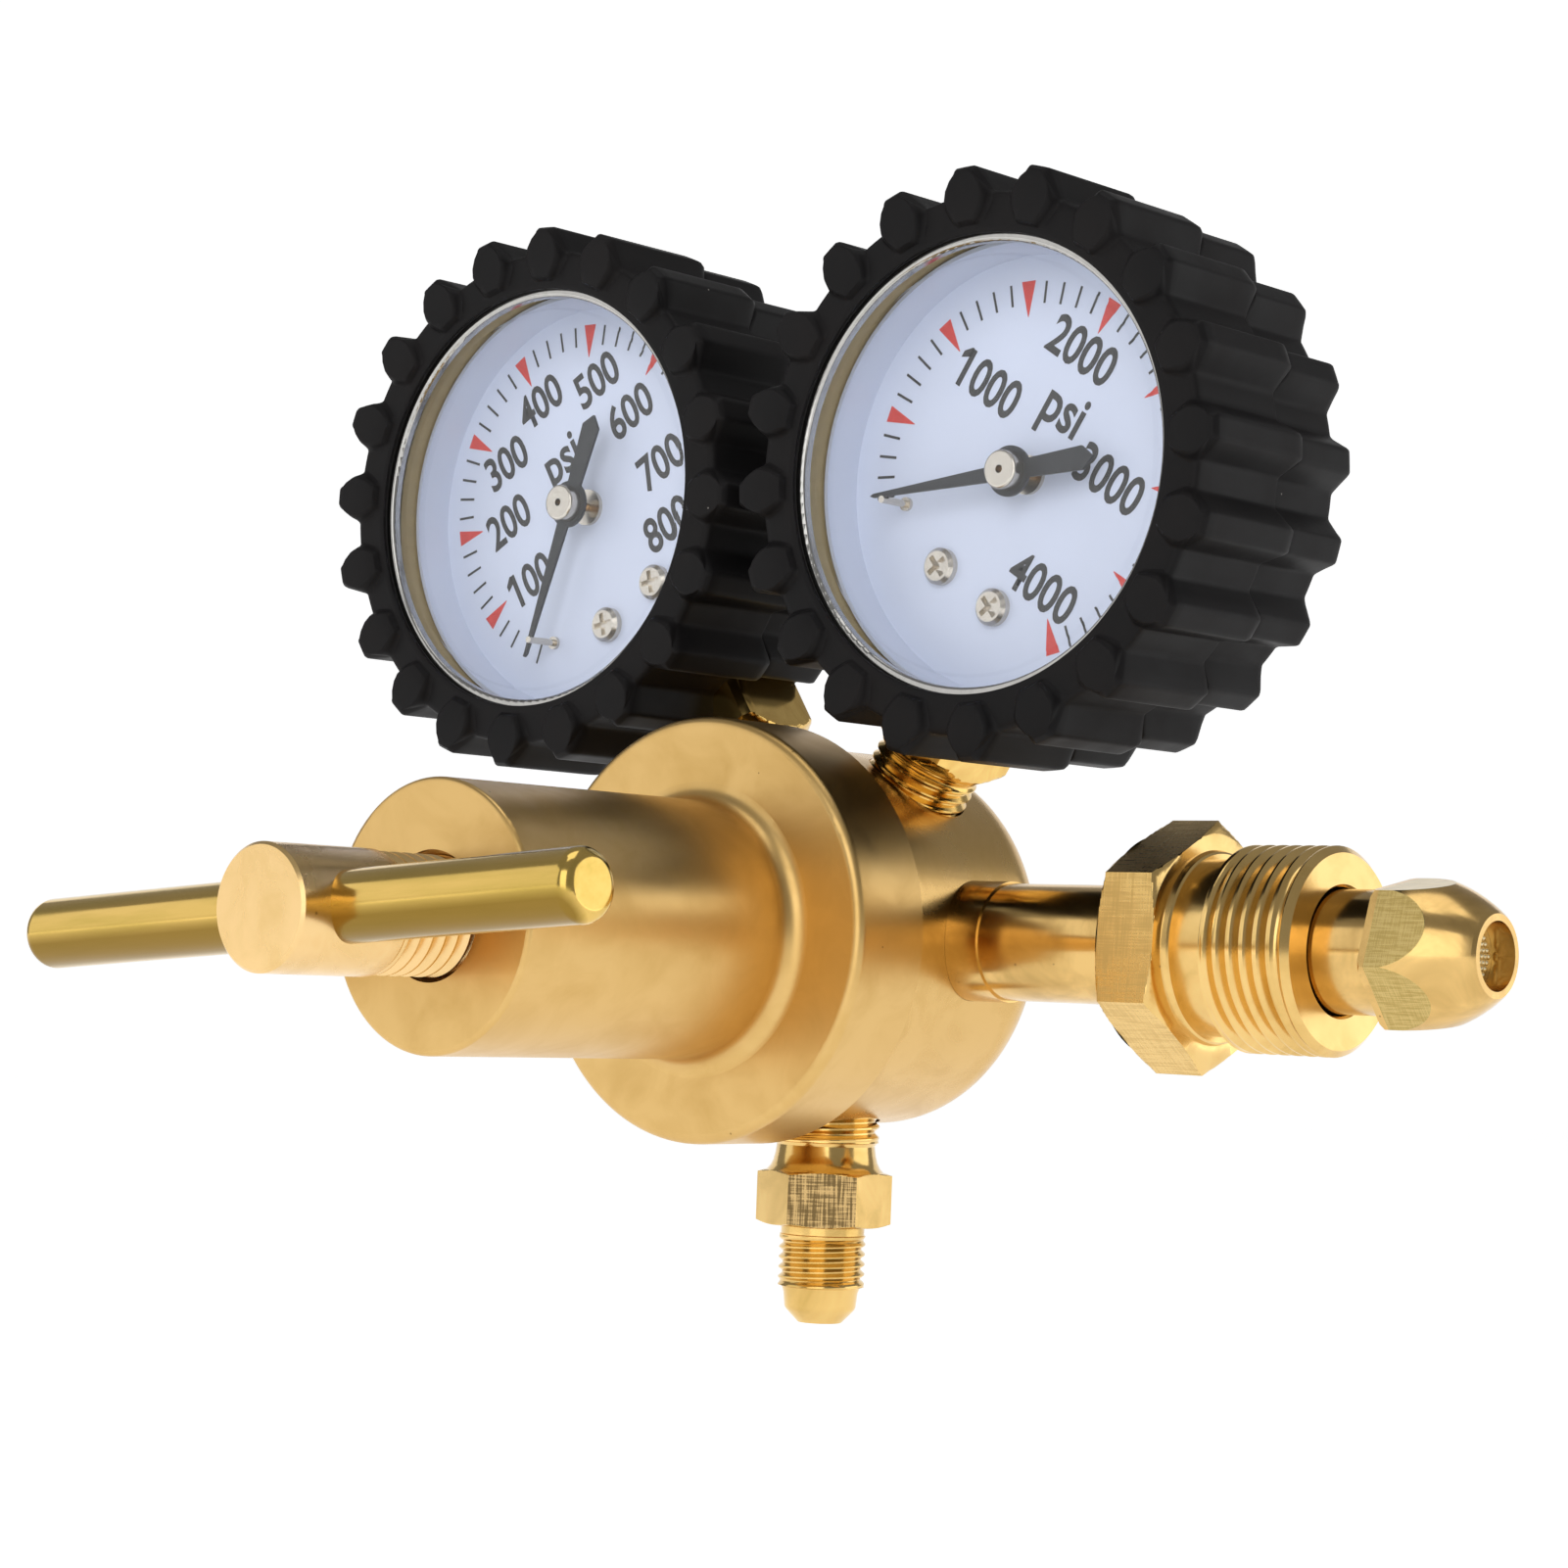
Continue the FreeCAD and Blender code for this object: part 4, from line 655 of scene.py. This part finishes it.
def makeOutlet():
    # profile down the fitting: pipe thread, collar, hexagon, neck, flare thread and cone; s is the depth below 0
    root, hexZ, pipeEnd = outlet["rootZ"], outlet["hexZ"], outlet["pipeEnd"]
    bore, collar, neck, low = outlet["bore"], outlet["collarRadius"], outlet["neckRadius"], outlet["shoulderRadius"]
    hexEnd = hexZ + outlet["hexLength"]
    thread = hexEnd + outlet["neckLength"]
    shoulder = thread + outlet["threadLength"]
    end = -lowest("outlet_fitting", 2)
    cone = end - (low - outlet["endRadius"])
    parts = [
        run([(root, bore), (root, outlet["pipeRadius"] - 0.6)]),
        threadRows(root, pipeEnd, outlet["pipeRadius"], outlet["pipeDepth"], outlet["pipePitch"]),
        run([(pipeEnd + 0.1, collar + 0.25), (pipeEnd + 0.5, collar), (hexZ - 2.2, collar + 0.15),
             (hexZ - 1.2, collar + 0.4), (hexZ - 0.5, collar + 0.75), (hexZ, outlet["baseRadius"])]),
        facetRows(hexZ, hexEnd, outlet["flats"], 6, outlet["chamfer"], outlet["baseRadius"]),
        run([(hexEnd, neck + 0.2), (hexEnd + 0.2, neck), (thread - 0.1, neck)]),
        threadRows(thread, shoulder, outlet["threadRadius"], outlet["threadDepth"], outlet["pitch"]),
        run([(shoulder + 0.15, low + 0.45), (shoulder + 0.8, low + 0.2), (cone - 0.3, low), (cone, low - 0.1),
             (cone + 0.25, low - 0.3), (end, outlet["endRadius"]), (end, bore + 0.1), (end - 0.1, bore)])]
    corner = math.radians(outlet["flatFaces"] + 30.0)
    place = axisPlace((bodyX, 0, 0), (0, 0, -1), (math.sin(corner), -math.cos(corner), 0))
    return turnedPiece("outlet_threaded", place, parts)


outletPiece = makeOutlet()
finishPiece(outletPiece, "outletBrass", "regulator", "machined_brass", "outlet_fitting")
# only the hexagon flat that faces front right gets the dark finish: painted shade on that one flat
facing = math.radians(outlet["flatFaces"])
finishFlats(outletPiece, "outletFlatPaintedShade", 2, -outlet["hexZ"] - outlet["hexLength"], -outlet["hexZ"],
            (math.sin(facing), -math.cos(facing), 0))
print("threaded fittings made")


# Gauge sockets: pipe thread, taper, square shank and the block behind the dial

stem = {"bore": 1.5, "threadStart": 13.5, "threadEnd": 27.6, "radius": 6.8, "depth": 0.6, "pitch": 1.41,
        "squareStart": 29.7, "flats": 14.2, "corner": 9.3, "blockFoot": 20.6, "block": (16.0, 7.1, 8.0),
        "blockFront": 18.3, "bossFront": 11.3, "bossRadius": 2.2, "bossSide": 4.9, "bossBelow": 15.8}


def squareRows(start, end, flats, corner, columns=96):
    # radius = half the flats / cos(angle from the flat's middle), never above the corner's radius
    turn = np.mod(angles(columns), math.pi / 2) - math.pi / 4
    prism = np.minimum(flats / 2 / np.cos(turn), corner)
    s = np.array([start, start + 0.01, end])[:, None]
    return np.repeat(s, columns, axis=1), np.repeat(prism[None, :], 3, axis=0)


def makeStem(side):
    # profile along the leaning axis; the taper's radius is the square's, never above a growing cone
    gauge = gauges[side]
    foot, square, radius = stem["threadEnd"] + 0.2, stem["squareStart"], stem["radius"]
    top = gauge["reach"] - stem["blockFoot"]
    squareS, squareRadius = squareRows(square, top, stem["flats"], stem["corner"])
    share = np.linspace(0, 1, 6)[:, None]
    cone = radius + 0.1 + (stem["corner"] - radius) * share
    taper = (np.repeat(foot + (square - foot) * share, 96, axis=1), np.minimum(squareRadius[0][None, :], cone))
    parts = [
        run([(stem["threadStart"], stem["bore"]), (stem["threadStart"], radius - 0.6)]),
        threadRows(stem["threadStart"], stem["threadEnd"], radius, stem["depth"], stem["pitch"]),
        taper, (squareS, squareRadius), run([(top, stem["bore"])])]
    place = axisPlace((bodyX, 0, 0), gauge["up"], gauge["right"] + [0, -1.0, 0])
    return turnedPiece(side + "_stem_threaded", place, parts)


def makeBlock(side):
    # a box below the dial: the four corners of its foot and of its top, each ring closed at a middle point
    gauge = gauges[side]
    width, thick, height = stem["block"]
    low = gauge["reach"] - stem["blockFoot"]
    rings = []
    for size, rise in ((0.0, low), (1.0, low), (1.0, low + height), (0.0, low + height)):
        rings.append([(across * width * size / 2, (back * size + 1) * thick / 2, rise)
                      for across, back in ((-1, -1), (1, -1), (1, 1), (-1, 1))])
    across, back, rise = np.moveaxis(np.array(rings), -1, 0)[..., None]
    points = (np.array([bodyX, gauge["front"] + stem["blockFront"], 0]) + across * gauge["right"]
              + back * np.array([0, 1, 0]) + rise * gauge["up"])
    return meshFromGrid(side + "_block", points, False)


def makeBoss(side, name, across):
    # a round boss from the block's front to the dial's back, under a dial screw
    gauge = gauges[side]
    up = gauge["reach"] - stem["bossBelow"]
    origin = np.array([bodyX, gauge["front"], 0]) + across * gauge["right"] + up * gauge["up"]
    front, foot, radius = stem["bossFront"], stem["blockFront"], stem["bossRadius"]
    rows = run([(front, 0), (front, radius), (foot, radius), (foot, 0)], 32)
    return turnedPiece(side + name, axisPlace(origin, (0, 1, 0), (0, 0, 1)), [rows], closed=False)


for side in gauges:
    finishPiece(makeStem(side), side + "StemBrass", "regulator", "polished_brass", side + "_socket")
    for piece in (makeBlock(side), makeBoss(side, "_boss_left", -stem["bossSide"]),
                  makeBoss(side, "_boss_right", stem["bossSide"])):
        finishPiece(piece, side + "StemBrass", "regulator", "polished_brass")
print("stems made")


# Rubber boots: one profile round the case, pushed out by the ribs and by the hexagonal pads on their ends

boot = {"ribs": 20, "soft": 0.24, "lip": 27.5, "front": -1.0, "wall": 32.5, "rear": 31.5, "depth": 30.4,
        "backHole": 20.0, "caseDepth": 29.6, "inner": 29.65, "foot": 3.4, "top": 1.5, "rise": 3.1, "rearRise": 2.9,
        "sharp": 30.0}


def bootProfile():
    # rows of (depth, radius, push back, push out, rib's foot, rib's top): the pushes hold on the rib's top and
    # fade to nothing at its foot; foot and top are half widths
    lip, front, wall, rear = boot["lip"], boot["front"], boot["wall"], boot["rear"]
    foot, top, high, low = boot["foot"], boot["top"], boot["rise"], boot["rearRise"]
    end, hole, case, inner = boot["depth"], boot["backHole"], boot["caseDepth"], boot["inner"]
    rows = [
        (0.0, lip + 0.2, 0, 0, top, 0.7), (front + 0.5, lip, 0, 0, top, 0.7),
        (front + 0.15, lip + 0.08, 0, 0, top, 0.7), (front, lip + 0.35, 0, 0, 1.45, 0.9),
        (front, 28.3, 0, 0, 1.5, 0.95), (front, 28.5, -0.06, 0, 1.6, 1.05), (front, 28.62, -0.35, 0, 1.75, 1.2),
        (front, 28.95, -0.88, 0, 2.0, 1.5), (front, 29.1, -0.95, 0, 2.1, 1.6), (front, 30.3, -1.15, 0.1, 2.85, 2.35),
        (front, 31.4, -1.3, 0.5, 3.4, 2.8), (front + 0.05, 31.95, -1.35, 1.1, foot, 2.6),
        (front + 0.15, 32.15, -1.45, 2.0, foot, 1.95), (front + 0.3, 32.3, -1.6, 2.55, foot, 1.2),
        (front + 0.42, 32.38, -1.62, 2.75, foot, 1.2), (front + 0.65, 32.46, -1.35, 3.05, foot, 1.42),
        (front + 0.9, wall, -1.25, high, foot, top), (0.6, wall, -0.4, high, foot, top)]
    rows += [(depth, wall, 0, high, foot, top) for depth in (3.0, 7.0, 11.0, 14.0, 14.9)]
    rows += [
        (15.2, wall, 0.5, high - 0.12, foot, top), (15.4, wall, 1.1, high - 0.5, foot, top - 0.15),
        (15.52, wall - 0.06, 1.12, high - 0.7, foot, top - 0.2), (15.6, wall - 0.25, 1.1, 1.95, foot, top - 0.1),
        (15.62, rear + 0.1, 1.2, 2.5, foot, top), (15.7, rear - 0.12, 1.25, 2.75, foot, top),
        (15.95, rear, 1.25, low - 0.05, foot, top), (16.6, rear, 0.9, low, foot, top)]
    rows += [(depth, rear, 0, low, foot, top) for depth in (18.5, 21.0, 24.0, 26.5, 27.6)]
    rows += [
        (28.2, rear, 0, low - 0.12, foot, top), (28.8, rear - 0.05, 0, low - 0.5, foot, top - 0.1),
        (29.3, rear - 0.35, 0, low - 0.8, foot, top - 0.3), (29.6, rear - 0.65, 0.1, low - 1.3, foot, top - 0.4),
        (29.85, rear - 0.9, 0, low - 2.1, foot, top - 0.4), (30.15, rear - 1.2, 0, 0.15, foot, top - 0.4),
        (end, rear - 1.6, 0, 0, foot, top), (end, hole + 0.4, 0, 0, foot, top), (end - 0.3, hole, 0, 0, foot, top),
        (case, hole, 0, 0, foot, top), (case, inner - 1.5, 0, 0, foot, top), (case - 1.5, inner, 0, 0, foot, top),
        (0.0, inner, 0, 0, foot, top)]
    return [np.array(column, float)[:, None] for column in zip(*rows)]


def makeBoot(side):
    # columns follow the rib's edges: across = top, slope, foot, then the valley, mirrored about the rib's middle
    # height = share of the push, 1 on the top and 0 past the foot, averaged over the soft width of the edges
    depth, radius, back, out, foot, top = bootProfile()
    soft = boot["soft"]
    sector = 2 * math.pi / boot["ribs"]
    valley = radius * sector / 2
    half = np.hstack([top * 0.55, top - soft, top, top + soft, (top + foot) / 2, foot - soft, foot, foot + soft,
                      foot * 0.55 + valley * 0.45])
    across = np.hstack([-valley, -half[:, ::-1], 0 * top, half])
    height = sum(np.clip((foot - np.abs(across) + shift) / (foot - top), 0, 1)
                 for shift in np.linspace(-soft, soft, 5)) / 5
    rim = radius + out * height
    turn = (across / rim)[:, None, :] + sector * np.arange(boot["ribs"])[None, :, None]
    turn = turn.reshape(len(depth), -1)
    rim = np.tile(rim, (1, boot["ribs"]))
    along = np.tile(depth + back * height, (1, boot["ribs"]))
    gauge = gauges[side]
    origin, axis, down, beside = axisPlace((gauge["centre"][0], gauge["front"], gauge["centre"][1]), (0, 1, 0),
                                           -gauge["up"])
    points = (origin + along[..., None] * axis + (rim * np.cos(turn))[..., None] * down
              + (rim * np.sin(turn))[..., None] * beside)
    return meshFromGrid(side + "_boot_ribbed", points, True, boot["sharp"])


for side in gauges:
    finishPiece(makeBoot(side), "bootRubber", "regulator", "boot_rubber", side + "_boot")
print("boots made")


# Dial printing: ticks, triangles and numbers, a hair in front of the dial

printing = {"depth": 10.77, "first": 45.0, "sweep": 270.0, "steps": 40, "perTriangle": 5,
            "tickInner": 20.6, "tickOuter": 23.3, "tickHalf": 0.17, "triangleInner": 19.0, "triangleOuter": 23.4,
            "triangleHalf": 1.05, "numberSize": 6.8, "unitSize": 7.6, "squeeze": 0.80, "weight": 0.15}
dials = {
    "low": {"ringTurn": -0.5, "shift": (-0.3, 1.9), "ring": 0.0, "wordTurn": 1.9, "words": [
        ("100", -13.8, -2.4), ("200", -13.2, 7.0), ("300", -9.6, 14.3), ("400", -0.2, 17.7), ("500", 9.7, 14.0),
        ("600", 12.5, 6.6), ("700", 13.5, -2.6), ("800", 10.3, -10.4), ("psi", -0.8, 8.7)]},
    "high": {"ringTurn": -0.5, "shift": (-0.8, 0.3), "ring": -0.3, "wordTurn": 0.0, "words": [
        ("1000", -12.0, 5.9), ("2000", -1.8, 16.0), ("3000", 10.6, 5.2), ("4000", 9.7, -10.4), ("psi", 0.1, 9.0)]}}


def dialDirections(side):
    # the print's middle, and its right and up directions
    gauge = gauges[side]
    centre = np.array([gauge["centre"][0], gauge["front"] + printing["depth"], gauge["centre"][1]])
    return centre, gauge["right"], gauge["up"]


def markSheet(name, side, corners):
    # flat marks: corners is marks x points x 2, in (right, up) millimetres from the dial centre
    centre, right, up = dialDirections(side)
    points = centre + corners[..., 0:1] * right + corners[..., 1:2] * up
    count = corners.shape[1]
    mesh = bpy.data.meshes.new(name)
    faces = np.arange(corners.shape[0] * count).reshape(-1, count)[:, ::-1]
    mesh.from_pydata((points.reshape(-1, 3) * mm).tolist(), [], faces.tolist())
    mesh.update()
    return newPiece(name, mesh)


def radialMarks(turn, inner, outer, halfInner, halfOuter):
    # a bar or wedge along each radius; 0 degrees points straight down and angles run clockwise
    out = np.stack([-np.sin(turn), -np.cos(turn)], axis=-1)
    side = np.stack([-out[:, 1], out[:, 0]], axis=-1)
    return np.stack([out * inner - side * halfInner, out * inner + side * halfInner,
                     out * outer + side * halfOuter, out * outer - side * halfOuter], axis=1)


def makeMarks(side):
    # ticks and triangles at even steps of the sweep, from the first step on; the ring turns and shifts
    dial = dials[side]
    step = np.arange(1, printing["steps"] + 1)
    turn = np.radians(printing["first"] + dial["ringTurn"] + printing["sweep"] * step / printing["steps"])
    long = step % printing["perTriangle"] == 0
    half = printing["tickHalf"]
    ring = dial["ring"]
    ticks = radialMarks(turn[~long], printing["tickInner"] + ring, printing["tickOuter"] + ring, half, half)
    wedges = radialMarks(turn[long], printing["triangleInner"] + ring, printing["triangleOuter"] + ring, 0.05,
                         printing["triangleHalf"])
    return (markSheet(side + "_dial_ticks", side, ticks + dial["shift"]),
            markSheet(side + "_dial_triangles", side, wedges + dial["shift"]))


def addFlag(mesh, size):
    # the slanted stroke at the top of a leading 1, which starts at the stroke's left edge
    places = np.array([corner.co[:2] for corner in mesh.vertices])
    x, y = places[:, 0].min(), places[:, 1].max()
    corners = [(x + 0.03, y), (x + 0.03, y - 0.17), (x - 0.20, y - 0.27), (x - 0.20, y - 0.14), (x - 0.02, y)]
    work = bmesh.new()
    work.from_mesh(mesh)
    work.faces.new([work.verts.new((x + (px - x) * size, y + (py - y) * size, 0)) for px, py in reversed(corners)])
    work.to_mesh(mesh)
    work.free()


def makeWords(side):
    # each number is a text turned into a mesh and laid in the gauge's own frame, turned as the print is
    centre, right, up = dialDirections(side)
    away = np.cross(right, up)
    turn = math.radians(dials[side]["wordTurn"])
    wordRight = right * math.cos(turn) - up * math.sin(turn)
    wordUp = up * math.cos(turn) + right * math.sin(turn)
    parts = []
    for text, x, z in dials[side]["words"]:
        curve = bpy.data.curves.new("word", "FONT")
        curve.body = text
        curve.align_x = curve.align_y = "CENTER"
        curve.size = printing["unitSize"] if text == "psi" else printing["numberSize"]
        curve.offset = printing["weight"]
        curve.resolution_u = 4
        holder = newPiece("word", curve)
        bpy.context.view_layer.update()
        mesh = bpy.data.meshes.new_from_object(holder.evaluated_get(bpy.context.evaluated_depsgraph_get()))
        bpy.data.objects.remove(holder)
        if text[0] == "1":
            addFlag(mesh, printing["numberSize"])
        place = centre + x * right + z * up
        turned = Matrix([[wordRight[i] * printing["squeeze"], wordUp[i], away[i], place[i]] for i in range(3)]
                        + [[0, 0, 0, 1]])
        mesh.transform(Matrix.Scale(mm, 4) @ turned)
        parts.append(mesh)
    return newPiece(side + "_dial_numbers", joinMeshes(side + "_dial_numbers", parts))


def joinMeshes(name, meshes):
    # one mesh with the points and faces of all, which are then removed
    work = bmesh.new()
    for mesh in meshes:
        work.from_mesh(mesh)
        bpy.data.meshes.remove(mesh)
    joined = bpy.data.meshes.new(name)
    work.to_mesh(joined)
    work.free()
    joined.materials.clear()
    return joined


for side in gauges:
    for piece, look in zip((*makeMarks(side), makeWords(side)), ("ink", "redInk", "ink")):
        finishPiece(piece, look, "regulator", "pointer_black")
print("dials printed")


# Sintered filter: a bed of small bronze balls in the nose's hole

filterBed = {"ballRadius": 0.42, "bedRadius": 3.75, "sink": 0.12, "spacing": 1.92, "reach": 6, "edge": 0.6}


def makeFilterBalls():
    # ball centres on a triangular grid, row height = spacing * root of 3 / 2; each ball is a small grid of
    # latitude and longitude
    size = filterBed["ballRadius"]
    spacing = size * filterBed["spacing"]
    index = np.arange(-filterBed["reach"], filterBed["reach"] + 1)
    row, column = np.meshgrid(index, index)
    y = (column + 0.5 * (row % 2)) * spacing
    z = row * spacing * math.sqrt(3) / 2
    keep = np.hypot(y, z) < filterBed["bedRadius"] - size * filterBed["edge"]
    x = np.full(keep.sum(), highest("inlet_filter", 0) - filterBed["sink"])
    centres = np.stack([x, y[keep], z[keep]], axis=-1)
    latitude = np.radians(np.linspace(-90, 90, 7))[:, None]
    longitude = angles(10)[None, :]
    ball = np.stack([np.sin(latitude) + 0 * longitude, np.cos(latitude) * np.cos(longitude),
                     np.cos(latitude) * np.sin(longitude)], axis=-1) * size
    quads = gridQuads(*ball.shape[:2])
    ball = ball.reshape(-1, 3)
    points = (centres[:, None, :] + ball[None, :, :]).reshape(-1, 3)
    allQuads = (quads[None, :, :] + (np.arange(len(centres)) * len(ball))[:, None, None]).reshape(-1, 4)
    return meshFromQuads("filter_balls", points * mm, allQuads)


finishPiece(makeFilterBalls(), "filterBronze", "regulator", "filter_bronze")
print("filter made")


# Coil springs: copies of the solids

coils = {"adjusting_spring": {"piece": "bonnet_coil", "joint": "screw_travel", "travel": 10.0},
         "poppet_spring": {"piece": "poppet_coil", "joint": "poppet_slide", "travel": 0.8}}


def makeCoil(node, coil):
    # a copy of the node's mesh, in spring steel, with the node hidden
    mesh = nodes[node].data.copy()
    mesh.materials.clear()
    piece = newPiece(coil["piece"], mesh)
    finishPiece(piece, "springSteel", "regulator", "spring_steel", node)
    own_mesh(piece)


for node, coil in coils.items():
    makeCoil(node, coil)
print("springs made")


# Camera, fitted to the photograph

camera = {"place": (0.22901, -0.36223, -0.00521), "focal": 83.68, "sensor": 36.0, "near": 0.01, "far": 50.0,
          "right": (0.7619209, 0.64652339, 0.03852336), "up": (0.00461023, -0.06489229, 0.99788162)}


def makeCamera():
    # the camera looks along -Z of its own axes: right, up and right x up
    data = bpy.data.cameras.new("camera")
    data.lens = camera["focal"]
    data.sensor_width = camera["sensor"]
    data.clip_start = camera["near"]
    data.clip_end = camera["far"]
    right = Vector(camera["right"]).normalized()
    up = Vector(camera["up"]).normalized()
    turn = Matrix((right, up, right.cross(up))).transposed().to_4x4()
    eye = newPiece("camera", data)
    eye.matrix_world = Matrix.Translation(camera["place"]) @ turn
    bpy.context.scene.camera = eye


makeCamera()


# Studio: pale floor that rises into a backdrop behind the object, a grey room and soft lamps

studio = {"floorZ": -0.115, "farEdge": 2.6, "nearEdge": -2.2, "halfWidth": 3.2, "bendRadius": 0.8, "wallTop": 1.9,
          "away": (-0.648, 0.762, 0.0), "side": (0.762, 0.648, 0.0), "white": 0.92, "rough": 0.9, "glow": 0.70,
          "room": 0.30, "target": (-0.05, 0.0, 0.02)}
lamps = {     # place, size and power
    "key": ((-1.00, -1.05, 0.34), 1.3, 4.3), "front": ((0.60, -1.45, 0.45), 1.3, 8.5),
    "right": ((1.05, 1.00, 0.02), 1.3, 7.0), "top": ((0.10, -0.10, 1.20), 0.70, 2.0)}


def makeStudio():
    # the sheet's profile: level floor, a quarter circle, then a wall, carried across its width
    turn = np.radians(np.linspace(0, 90, 16))
    bendX = studio["farEdge"] + studio["bendRadius"] * np.sin(turn)
    bendZ = studio["floorZ"] + studio["bendRadius"] * (1 - np.cos(turn))
    reach = np.concatenate([[studio["nearEdge"]], bendX, [bendX[-1]]])
    rise = np.concatenate([[studio["floorZ"]], bendZ, [studio["wallTop"]]])
    across = np.array([-1.0, 1.0]) * studio["halfWidth"]
    points = (reach[:, None, None] * np.array(studio["away"]) + across[None, :, None] * np.array(studio["side"])
              + rise[:, None, None] * np.array([0.0, 0.0, 1.0]))
    rows = np.arange(len(reach) - 1)
    faces = np.stack([rows * 2, rows * 2 + 1, rows * 2 + 3, rows * 2 + 2], axis=-1)[:, ::-1]
    mesh = bpy.data.meshes.new("floor")
    mesh.from_pydata(points.reshape(-1, 3).tolist(), [], faces.tolist())
    mesh.polygons.foreach_set("use_smooth", np.ones(len(faces), dtype=bool))
    mesh.update()
    sheet = newPiece("floor", mesh)
    tree, shader = startMaterial("floorWhite")[:2]
    path = tree.nodes.new("ShaderNodeLightPath").outputs
    seen = addMath(tree, "MAXIMUM", addMath(tree, "MAXIMUM", path["Is Camera Ray"], path["Is Glossy Ray"]),
                   path["Is Transmission Ray"])
    setInputs(tree, shader, {
        "Base Color": (studio["white"],) * 3, "Roughness": studio["rough"], "Specular IOR Level": 0.0,
        "Emission Color": (1.0, 1.0, 1.0), "Emission Strength": addMath(tree, "MULTIPLY", seen, studio["glow"])})
    mesh.materials.append(materials["floorWhite"])


def makeLamps():
    # an even world, and square lamps that face the target
    world = bpy.data.worlds.new("room")
    world.use_nodes = True
    tree = world.node_tree
    setInputs(tree, tree.nodes["Background"], {"Color": (1.0, 1.0, 1.0), "Strength": studio["room"]})
    bpy.context.scene.world = world
    for name, (place, size, power) in lamps.items():
        data = bpy.data.lights.new(name, "AREA")
        data.size = size
        data.energy = power
        toward = Vector(studio["target"]) - Vector(place)
        turn = toward.to_track_quat("-Z", "Y").to_matrix().to_4x4()
        newPiece(name, data).matrix_world = Matrix.Translation(place) @ turn


makeStudio()
makeLamps()
bpy.context.scene.view_settings.view_transform = "Standard"
print("studio ready")
